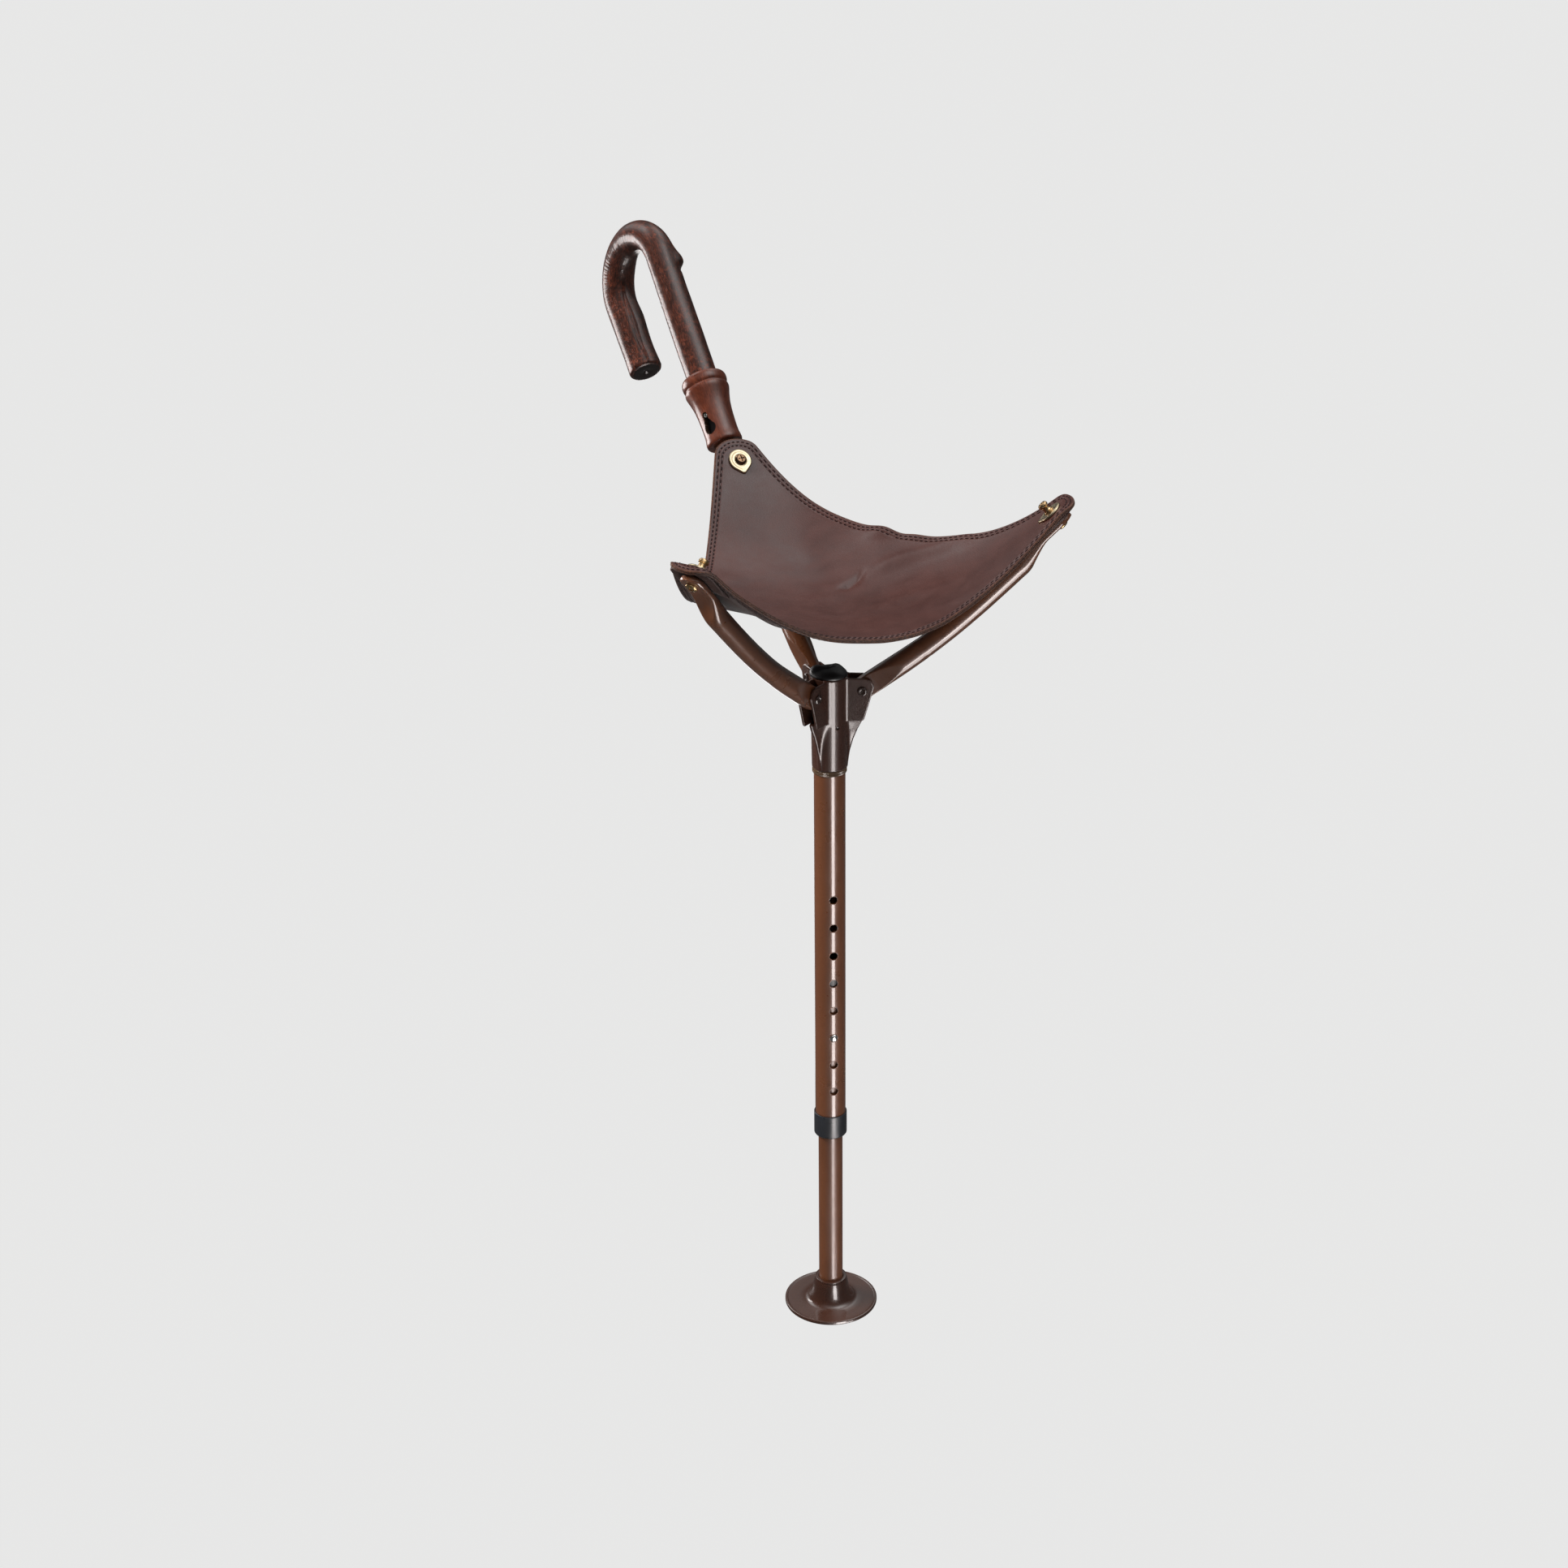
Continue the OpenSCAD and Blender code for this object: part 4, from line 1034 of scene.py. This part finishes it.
def sewn(inset, s):
    """Height of the upper face near the edge: burnished roll, a sunk line under each row, a pucker at each stitch."""
    h = np.zeros_like(s)
    for j, at in enumerate(ROWS_IN):
        phase = 2 * math.pi * s / PITCH + math.pi * j
        deep = 0.30 + 0.10 * np.cos(phase)
        h = h - deep * np.exp(-((inset - at) / 0.62) ** 2)
    h = h + 0.16 * np.exp(-((inset - 4.3) / 0.7) ** 2) + 0.12 * np.exp(-((inset - 7.3) / 0.9) ** 2)
    return h


def build_seat():
    rings = list(np.linspace(0, 1.0, 52)[1:])
    insets = [9.2, 8.4, 7.7, 7.1, 6.6, 6.15, 5.7, 5.25, 4.8, 4.3, 3.8, 3.35, 2.9, 2.45, 2.0]
    side = [(-1.5, 1.60), (-1.0, 1.56), (-0.45, 1.44), (-0.12, 1.18), (0.0, 0.85), (0.0, 0.42), (-0.10, 0.16), (-0.42, 0.0),
            (-0.10, -0.16), (0.0, -0.42), (0.0, -0.85), (-0.12, -1.22), (-0.45, -1.48), (-1.0, -1.58), (-1.5, -1.60)]
    for k in "abc":
        p, o, s = outline(k)
        # stitches count from both seams, so neighbours agree there
        count = max(1, round(s[-1] / PITCH))
        s_fit = s * (count * PITCH / s[-1])
        n = len(p)
        inner = p - 10 * o
        rows, norms = [], []
        for f in rings:
            q = inner * f
            rows.append(on_sheet(q[:, 0], q[:, 1], np.full(n, SHEET_T / 2)))
        for e in insets:
            q = p - e * o
            rows.append(on_sheet(q[:, 0], q[:, 1], SHEET_T / 2 + sewn(e, s_fit)))
        top_rows = len(rows)
        for e, h in side:
            q = p + e * o
            rows.append(on_sheet(q[:, 0], q[:, 1], np.full(n, h)))
        for e in insets[::-1]:
            q = p - e * o
            rows.append(on_sheet(q[:, 0], q[:, 1], -SHEET_T / 2 - 0.7 * sewn(e, s_fit)))
        for f in rings[::-1]:
            q = inner * f
            rows.append(on_sheet(q[:, 0], q[:, 1], np.full(n, -SHEET_T / 2)))
        total = len(rows)
        pts = np.vstack(rows + [on_sheet(np.zeros(1), np.zeros(1), [SHEET_T / 2]), on_sheet(np.zeros(1), np.zeros(1), [-SHEET_T / 2])])
        ct, cb = total * n, total * n + 1
        faces, fm = [], []
        for j in range(n - 1):
            faces.append((ct, j, j + 1))
            fm.append(0)
            faces.append((cb, (total - 1) * n + j + 1, (total - 1) * n + j))
            fm.append(1)
        for i in range(total - 1):
            m = 0 if i < top_rows + 1 else (2 if i < top_rows + len(side) - 2 else 1)
            for j in range(n - 1):
                faces.append((i * n + j, (i + 1) * n + j, (i + 1) * n + j + 1, i * n + j + 1))
                fm.append(m)
        for j, flip in ((0, False), (n - 1, True)):
            half = top_rows + (len(side) - 1) // 2
            loop = [ct, cb]
            prev_t, prev_b = ct, cb
            for i in range(half):
                t, b = i * n + j, (total - 1 - i) * n + j
                f = (prev_t, prev_b, b, t)
                faces.append(f if flip else f[::-1])
                fm.append(1)
                prev_t, prev_b = t, b
            f = (prev_t, prev_b, half * n + j)
            faces.append(f if flip else f[::-1])
            fm.append(1)
        ob = piece("seat_hide_" + k, pts, faces, [M_LEATHER, M_UNDER, M_EDGE], fm, sharp=None)
        me = ob.data
        # exact normals on the two broad faces, so the three sectors meet without a line
        vi = np.empty(len(me.loops), np.int32)
        me.loops.foreach_get("vertex_index", vi)
        pf = np.empty(len(me.loops), np.int32)
        for pl in me.polygons:
            pf[pl.loop_start:pl.loop_start + pl.loop_total] = pl.index
        xy = pts[:, :2]
        nn = sheet_n(xy[:, 0], xy[:, 1])
        mesh_n = np.zeros((len(me.loops), 3))
        rows_of = np.minimum(np.arange(len(pts)) // n, total)
        poly_n = np.empty(len(me.polygons) * 3)
        me.polygons.foreach_get("normal", poly_n)
        poly_n = poly_n.reshape(-1, 3)
        up = np.einsum("ij,ij->i", poly_n[pf], nn[vi])
        sewn_rows = np.zeros(len(pts), bool)
        sewn_rows[(len(rings)) * n:(total - len(rings)) * n] = True
        is_top = (up > 0.97) & ~sewn_rows[vi]
        is_bot = (up < -0.97) & ~sewn_rows[vi]
        mesh_n[is_top] = nn[vi[is_top]]
        mesh_n[is_bot] = -nn[vi[is_bot]]
        me.shade_smooth()
        me.set_sharp_from_angle(angle=rad(60))
        me.normals_split_custom_set(mesh_n.tolist())
        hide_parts("leather_seat")
        blend_arm(ob, k)
        st = stitches(k, p, o, s, count)


def stitches(k, p, o, s, count):
    """Two rows of stitches above and below: each a short bead of thread that dips into the leather at both ends."""
    pts, faces = [], []
    for row, inset in enumerate(ROWS_IN):
        q = p - inset * o
        # the same stations as the sunk lines: a stitch where the pucker is shallow
        for i in range(count):
            s0 = (i + (0.5 if row == 0 else 0.0)) * s[-1] / count
            if row == 1 and i == 0:
                continue
            ts = np.linspace(-1, 1, 7)
            xs = np.interp(s0 + ts * 1.45, s, q[:, 0])
            ys = np.interp(s0 + ts * 1.45, s, q[:, 1])
            for sign in (1, -1):
                h = sign * (SHEET_T / 2 - 0.10 - 0.30 * ts ** 4)
                c = on_sheet(xs, ys, h)
                nn = sheet_n(xs, ys)
                d = np.gradient(c, axis=0)
                d /= np.linalg.norm(d, axis=1, keepdims=True)
                w = np.cross(nn, d)
                base = len(pts)
                m = 8
                for a_i in range(7):
                    rr = 0.50 * (1 - 0.72 * abs(ts[a_i]) ** 5)
                    for b_i in range(m):
                        t = 2 * math.pi * b_i / m
                        pts.append(c[a_i] + rr * (math.cos(t) * w[a_i] + math.sin(t) * nn[a_i]))
                for a_i in range(6):
                    for b_i in range(m):
                        n_i = (b_i + 1) % m
                        faces.append((base + a_i * m + b_i, base + (a_i + 1) * m + b_i, base + (a_i + 1) * m + n_i, base + a_i * m + n_i))
                faces.append(tuple(base + b_i for b_i in range(m)))
                faces.append(tuple(base + 6 * m + b_i for b_i in range(m))[::-1])
    ob = piece("seat_stitches_" + k, pts, faces, [M_THREAD], sharp=None)
    blend_arm(ob, k)
    return ob


# ------------------------------------------------------------------ seat corners
def build_corner(k):
    m = at_tip(k)
    body = BODY[k]
    # patch: a shaped piece of hide under the corner, skived thin at its inner end
    ll = (12.5 if k == "a" else 13.6) - 1.0
    side = [(4.1 * SX + ll * math.cos(t), 18.7 * math.sin(t)) for t in np.linspace(0, rad(78), 16)]
    side += [(-4, 18.2), (-10, 17.2), (-16, 16.0), (-18.6, 14.4), (-19.8, 11.5), (-20.2, 6), (-20.3, 0)]
    side = np.array(curve(side, 3))
    out = np.vstack([side, (side * [1, -1])[-2:0:-1]])
    d = np.roll(out, -1, 0) - np.roll(out, 1, 0)
    d /= np.linalg.norm(d, axis=1, keepdims=True)
    on = np.c_[d[:, 1], -d[:, 0]]
    rows = []
    inv = np.linalg.inv(m)
    a = rad(AZ[k])
    R = np.array([[math.cos(a), -math.sin(a)], [math.sin(a), math.cos(a)]])

    def laid(pt, h):
        """Tip-frame points h below the sheet's lower face, over plan points measured from the corner."""
        w = (pt + [COR[k][0], 0]) @ R.T
        return put(on_sheet(w[:, 0], w[:, 1], -SHEET_T / 2 - 0.05 - h), inv)
    skive = lambda pt: 0.22 + 0.78 * smoothstep(-20.3, -9, pt[:, 0])
    for f in (0.0, 0.3, 0.55, 0.75, 0.9, 0.965):
        rows.append(("t", out * f))
    for e, t in ((-0.5, 0.97), (-0.12, 0.86), (0, 0.62), (-0.05, 0.5), (0, 0.38), (-0.12, 0.14), (-0.5, 0.03)):
        rows.append((t, out + on * e))
    for f in (0.965, 0.9, 0.75, 0.55, 0.3, 0.0):
        rows.append(("b", out * f))
    pts = []
    for t, q in rows:
        hi = laid(q, np.zeros(len(q)))
        thick = np.clip(hi[:, 2] - 9.3, 0.7, 3.5) * skive(q)
        t = {"t": 1.0, "b": 0.0}.get(t, t)
        pts.append(laid(q, thick * (1 - t)))
    o = piece("corner_patch_hide_" + k, put(np.vstack(pts), m), grid(len(rows), len(out)), [M_UNDER], sharp=None)
    tidy(o, 2e-6)
    o.data.shade_smooth()
    o.data.set_sharp_from_angle(angle=rad(50))
    stand(o, "corner_patch_" + k, body)

    # pressed plate: teardrop with a rolled edge and a raised seat for the screw or stud
    th = np.linspace(0, 2 * math.pi, 97)[:-1]
    rad_out = []
    for t in th:
        d_ = abs((t - math.pi + math.pi) % (2 * math.pi) - math.pi)
        r = 9.6
        q = abs(math.atan2(math.sin(t - math.pi), math.cos(t - math.pi)))
        lim = math.acos(9.6 / 12.9)
        if q < lim:
            r = 9.6 / math.cos(lim - q)
        rad_out.append(min(r, 12.0))
    rad_out = np.array(rad_out)
    prof = [(1.0, 0.0), (1.0, 0.25), (0.985, 0.62), (0.95, 0.95), (0.90, 1.12), (0.84, 1.16), (0.76, 1.02), (0.68, 0.84), (0.60, 0.82),
            (0.54, 0.95), (0.50, 1.14), (0.45, 1.2), (0.0, 1.2)]
    rows = []
    for s, z in [(0.0, 0.0)] + prof:
        mixed = s * rad_out if s > 0.7 else s * (rad_out * max(0, (s - 0.5) / 0.2) + 9.6 * (1 - max(0, (s - 0.5) / 0.2)))
        rows.append(np.c_[mixed * np.cos(th), mixed * np.sin(th), np.full(len(th), PLATE - 0.35 + (z if z == 0 else z + 0.35))])
    o = piece("corner_plate_pressed_" + k, put(np.vstack(rows), m), grid(len(rows), len(th)), [M_PLATE], sharp=None)
    tidy(o, 2e-6)
    o.data.shade_smooth()
    o.data.set_sharp_from_angle(angle=rad(55))
    stand(o, "corner_plate_" + k, body)

    top = PLATE + 1.2
    if k == "a":
        prof = [(0, 4.8), (2.4, 4.8), (2.4, top - 0.1)] + fillet([(2.4, top - 0.05, 0), (4.9, top - 0.05, .2), (4.9, top + 1.0, .9),
                                                                  (3.6, top + 2.5, 1.6), (0, top + 2.9, 0)], 6)
        o = lathe("corner_screw_pan_a", prof, m, 64, [M_DARKSCREW])
        cross_cut(o, m @ move(0, 0, top + 1.3), 2.7, 0.55, 3.0)
        stand(o, "corner_screw_a", body)
        dress("corner_insert_a", M_STEEL)
    else:
        prof = [(0, 1.4)] + fillet([(0, 1.4, 0), (3.2, 1.65, 1.2), (4.7, 2.7, .8), (4.7, 4, .2), (2.4, 4, .1), (2.4, 6, 0)], 5) \
            + [(2.4, top + 3), (0, top + 3)]
        o = lathe("corner_screw_slotted_" + k, prof, m, 64, [M_SCREW])
        cross_cut(o, m @ move(0, 0, -0.3), 3.0, 0.5, 2.7)
        stand(o, "corner_screw_" + k, body)
        prof = [(2.42, 0.02)] + fillet([(2.42, 0.02, 0), (4.2, 0.02, .15), (4.2, 0.95, .3), (3.2, 1.35, .5), (2.85, 2.4, .8), (2.85, 4.6, .8),
                                        (3.9, 5.5, .35), (3.9, 7.1, .5), (3.1, 8.15, .6), (1.6, 8.3, .2), (1.2, 7.8, .2), (0, 7.7, 0)], 5) \
            + [(0, 3.2), (2.42, 3.2)]
        o = lathe("stud_turned_" + k, prof, m @ move(0, 0, top), 64, [M_STUD], closed=True)
        stand(o, "stud_" + k, body)


def cross_cut(o, m, reach, half, depth):
    """Cuts a cross recess. m puts the cutter's lower face in place, Z up."""
    pts, faces = [], []
    for a in (0, 90):
        b = len(pts)
        box = [(x, y, z) for z in (0, depth) for x, y in ((-reach, -half), (reach, -half), (reach, half), (-reach, half))]
        box = [(x * (1 - 0.0 * (z == 0)), y, z) for x, y, z in box]
        pts += list(put(box, rot("z", a)))
        faces += [(b, b + 3, b + 2, b + 1), (b + 4, b + 5, b + 6, b + 7), (b, b + 1, b + 5, b + 4), (b + 1, b + 2, b + 6, b + 5),
                  (b + 2, b + 3, b + 7, b + 6), (b + 3, b, b + 4, b + 7)]
    for i in range(2):
        tool = piece("cutter", put(pts[8 * i:8 * i + 8], m), [tuple(v - 8 * i for v in f) for f in faces[6 * i:6 * i + 6]], smooth=False)
        cut(o, tool)
    o.data.shade_smooth()
    o.data.set_sharp_from_angle(angle=rad(32))


# ------------------------------------------------------------------ handle
def build_collar():
    body = curve([(9.3, 0.25), (11.6, 0.0), (13.6, 0.15), (14.55, 1.2), (14.85, 3.0), (14.6, 5.2), (14.15, 8), (13.98, 12), (14.05, 18), (14.25, 24),
                  (14.65, 30), (15.3, 35.5), (16.3, 40.4), (17.4, 44.6), (18.15, 47.4), (18.38, 49.3), (18.1, 50.9), (17.55, 51.8)], 6)
    bead = curve([(17.5, 52.3), (17.85, 53.0), (18.4, 54.2), (18.72, 56.2), (18.6, 58.4), (18.0, 60.2), (16.9, 61.4), (15.6, 61.9), (14.2, 61.9)], 6)
    prof = [(9.06, 0.6)] + body + bead + [(13.1, 61.6), (12.95, 60.5), (12.95, 48), (9.06, 48)]
    m = at_handle()
    o = lathe("collar_turned", prof, m, 192, [M_COLLAR], closed=True, sharp=40)
    # keyhole
    big = [(-13.7 + 5.4 * math.cos(rad(a)), 0.6 + 5.4 * math.sin(rad(a))) for a in np.linspace(-136, 136, 40)]
    mid = [(-18.6 - 3.6 * math.cos(rad(a)), 3.6 * math.sin(rad(a))) for a in np.linspace(72, 42, 6)]
    small = [(-25.5 - 2.4 * math.cos(rad(a)), 2.4 * math.sin(rad(a))) for a in np.linspace(88, -88, 24)]
    loop = big + mid + [(-21.8, 2.4)] + small + [(-21.8, -2.4)] + [(x, -y) for x, y in mid[::-1]]
    n = len(loop)
    low, high = [(x, y, 3.0) for x, y in loop], [(x, y, 22.0) for x, y in loop]
    faces = [tuple(range(n))[::-1], tuple(range(n, 2 * n))] + [(i, (i + 1) % n, n + (i + 1) % n, n + i) for i in range(n)]
    tool = piece("cutter", put(low + high, m @ rot("z", 120) @ rot("y", 90)), faces, smooth=False)
    tidy(tool)
    cut(o, tool)
    o.data.shade_smooth()
    o.data.set_sharp_from_angle(angle=rad(40))
    o.data.materials.append(M_CUTWOOD)
    inv = np.linalg.inv(m @ rot("z", 120) @ rot("y", 90))
    for pl in o.data.polygons:
        c_ = put(np.array(pl.center) / MM, inv)
        n_ = inv[:3, :3] @ np.array(pl.normal)
        if abs(n_[2]) < 0.35 and -28.5 < c_[0] < -7.9 and -5.2 < c_[1] < 6.4 and c_[2] > 8.5:
            pl.material_index = 1
    rod_uv(o, m)
    stand(o, "collar", "handle")
    # pin: a small tubular head in the narrow end
    prof = [(0, 6.2), (3.2, 6.2), (3.2, 6.9), (2, 6.9), (2, 12.2)] \
        + fillet([(2, 12.2, 0), (2.05, 13.3, .5), (1.3, 13.35, .3), (0.85, 12.5, .2), (0, 12.4, 0)], 4)
    o = lathe("slide_pin_rolled", prof, m @ move(0, 0, 25.5) @ rot("z", 120) @ rot("y", 90), 40, [M_STEEL])
    stand(o, "slide_pin", "handle_arm")


def rod_uv(o, m):
    """UV of a turned piece: U round its axis, V along it, both in 100 mm."""
    inv = np.linalg.inv(m)
    me = o.data
    co = np.empty(len(me.vertices) * 3)
    me.vertices.foreach_get("co", co)
    v = put(co.reshape(-1, 3) / MM, inv)
    layer = me.uv_layers.get("UVMap") or me.uv_layers.new(name="UVMap")
    vi = np.empty(len(me.loops), np.int32)
    me.loops.foreach_get("vertex_index", vi)
    ang = np.arctan2(v[:, 1], v[:, 0])
    u = ang * 15 / 100
    uv = np.c_[u[vi], v[vi, 2] / 100]
    for pl in me.polygons:
        r = range(pl.loop_start, pl.loop_start + pl.loop_total)
        us = uv[pl.loop_start:pl.loop_start + pl.loop_total, 0]
        if us.max() - us.min() > 0.4:
            uv[pl.loop_start:pl.loop_start + pl.loop_total, 0] = np.where(us < 0, us + 2 * math.pi * 15 / 100, us)
    layer.data.foreach_set("uv", uv.astype(np.float32).ravel())


def build_crook():
    R, TURN, FREE = 38.6, 184.0, 63.0
    straight = 176.6 - 48
    bend = R * rad(TURN)
    total = straight + bend + FREE
    n_ring = 112
    ls = np.r_[np.arange(0, total - 3.0, 0.62), np.linspace(total - 3.0, total, 7)]
    th = np.arange(n_ring) * 2 * math.pi / n_ring
    rows = []
    for l in ls:
        if l < straight:
            c, d = np.array([0, 0, 48 + l]), np.array([0, 0, 1.0])
        elif l < straight + bend:
            a = (l - straight) / R
            c = np.array([R - R * math.cos(a), 0, 176.6 + R * math.sin(a)])
            d = np.array([math.sin(a), 0, math.cos(a)])
        else:
            a = rad(TURN)
            e = l - straight - bend
            d = np.array([math.sin(a), 0, math.cos(a)])
            c = np.array([R - R * math.cos(a), 0, 176.6 + R * math.sin(a)]) + d * e
        u = np.array([d[2], 0, -d[0]])      # towards the inside of the bend
        w = np.array([0, 1.0, 0])
        free = max(0.0, (l - straight - bend) / FREE)
        r = np.full(n_ring, 12.9 + 1.5 * free)
        # organic section: slightly flattened faces, bend compressed inside, the free half of the bend thicker on its inner side
        inb = float(smoothstep(straight - 30, straight + 12, l)) * (1 - float(smoothstep(straight + bend - 12, straight + bend + 20, l)))
        q = np.array([noise.noise(Vector((math.cos(t) * 0.9, math.sin(t) * 0.9, l * 0.016 + 3.1))) for t in th])
        f = np.array([noise.noise(Vector((math.cos(t) * 2.2, math.sin(t) * 2.2, l * 0.07 + 9.7))) for t in th])
        r = r + 0.45 * q + 0.16 * f - 0.30
        inside = 0.5 * (1 + np.cos(th))
        r -= inb * 0.8 * inside ** 3
        fat = float(smoothstep(straight + bend * 0.42, straight + bend * 0.74, l)) * (1 - float(smoothstep(straight + bend + 8, straight + bend + 44, l)))
        r += 3.6 * fat * inside ** 2
        # fine ripples across the inside of the bend and along both its flanks
        flank = np.clip(1 - np.abs(np.abs((th + math.pi) % (2 * math.pi) - math.pi) - 1.15) / 0.95, 0, 1) ** 0.7
        on = float(smoothstep(straight - 104, straight - 60, l))
        if on > 0:
            rip = np.array([noise.noise(Vector((l * 0.92, math.cos(t) * 1.5, math.sin(t) * 1.5 + 5.0))) for t in th])
            fine = np.array([noise.noise(Vector((l * 1.7 + 40, math.cos(t) * 2.6, math.sin(t) * 2.6 + 8.0))) for t in th])
            r += on * flank * (0.17 * rip + 0.09 * fine)
        # a shallow crease with a second, fainter line down the inner side of the free leg
        cr = float(smoothstep(straight + bend * 0.80, straight + bend * 0.98, l)) * (1 - float(smoothstep(total - 22, total - 8, l)))
        wand = 0.30 + 0.10 * math.sin(l * 0.05)
        dth = (th - wand + math.pi) % (2 * math.pi) - math.pi
        r -= cr * 0.34 * np.exp(-(dth / 0.07) ** 2)
        r -= cr * 0.16 * np.exp(-((dth - 0.34) / 0.06) ** 2)
        # knot on the shaft below the bend: long slope above, short below
        kl = l - 120.5
        kd = (kl / (9.5 if kl > 0 else 4.6)) ** 2
        ka = (th - KNOT + math.pi) % (2 * math.pi) - math.pi
        r += 4.1 * np.exp(-(kd ** 1.15) - (np.abs(ka) / 0.52) ** 2.6)
        r -= 0.5 * np.exp(-((kl + 8.5) / 2.6) ** 2 - (np.abs(ka) / 0.6) ** 2)
        over = l - (total - 3.0)
        if over > 0:
            r -= 3.0 * (1 - math.sqrt(max(0, 1 - (over / 3.0) ** 2))) * 0.9
        rows.append(c + r[:, None] * (np.cos(th)[:, None] * u + np.sin(th)[:, None] * w))
    # end face with a dimple
    last, c_end = rows[-1], c
    for s_, dz in ((0.93, 0.12), (0.8, 0.2), (0.6, 0.18), (0.4, 0.05), (0.26, -0.25), (0.15, -0.95), (0.07, -1.35), (0.0, -1.5)):
        rows.append(c_end + (last - c_end) * s_ + d * dz)
    first = rows[0]
    for s_ in (0.5, 0.0):
        rows.insert(0, np.array([0, 0, 48.0]) + (first - np.array([0, 0, 48.0])) * s_)
    n_end = 8
    pts = np.vstack(rows)
    faces = grid(len(rows), n_ring)
    fm = np.zeros(len(faces), int)
    fm[-(n_end) * n_ring:] = 1
    V = np.r_[[0, 0], ls, total + np.arange(1, n_end + 1) * 1.5] / 100
    uv = np.c_[np.tile(th * 13 / 100, len(rows)), np.repeat(V, n_ring)]
    m = at_handle() @ rot("z", 10.8)
    o = piece("crook_bent", put(pts, m), faces, [M_WOOD, M_ENDGRAIN], fm, sharp=None, uvs=uv)
    layer = o.data.uv_layers["UVMap"].data
    arr = np.empty(len(o.data.loops) * 2, np.float32)
    layer.foreach_get("uv", arr)
    arr = arr.reshape(-1, 4, 2)
    u = arr[:, :, 0]
    wrap = (u.max(1) - u.min(1)) > 0.4
    u[wrap] = np.where(u[wrap] < 0.3, u[wrap] + 2 * math.pi * 13 / 100, u[wrap])
    arr[:, :, 0] = u
    layer.foreach_set("uv", arr.ravel())
    bm = bmesh.new()
    bm.from_mesh(o.data)
    bmesh.ops.remove_doubles(bm, verts=bm.verts, dist=1e-6)
    bmesh.ops.dissolve_degenerate(bm, edges=bm.edges, dist=1e-8)
    bmesh.ops.recalc_face_normals(bm, faces=bm.faces)
    bm.to_mesh(o.data)
    bm.free()
    o.data.shade_smooth()
    stand(o, "crook_handle", "handle")


KNOT = rad(-119.45)

build_leg()
build_hub()
for arm in "abc":
    build_arm(arm)
for arm in "abc":
    build_corner(arm)
build_seat()
build_collar()
build_crook()
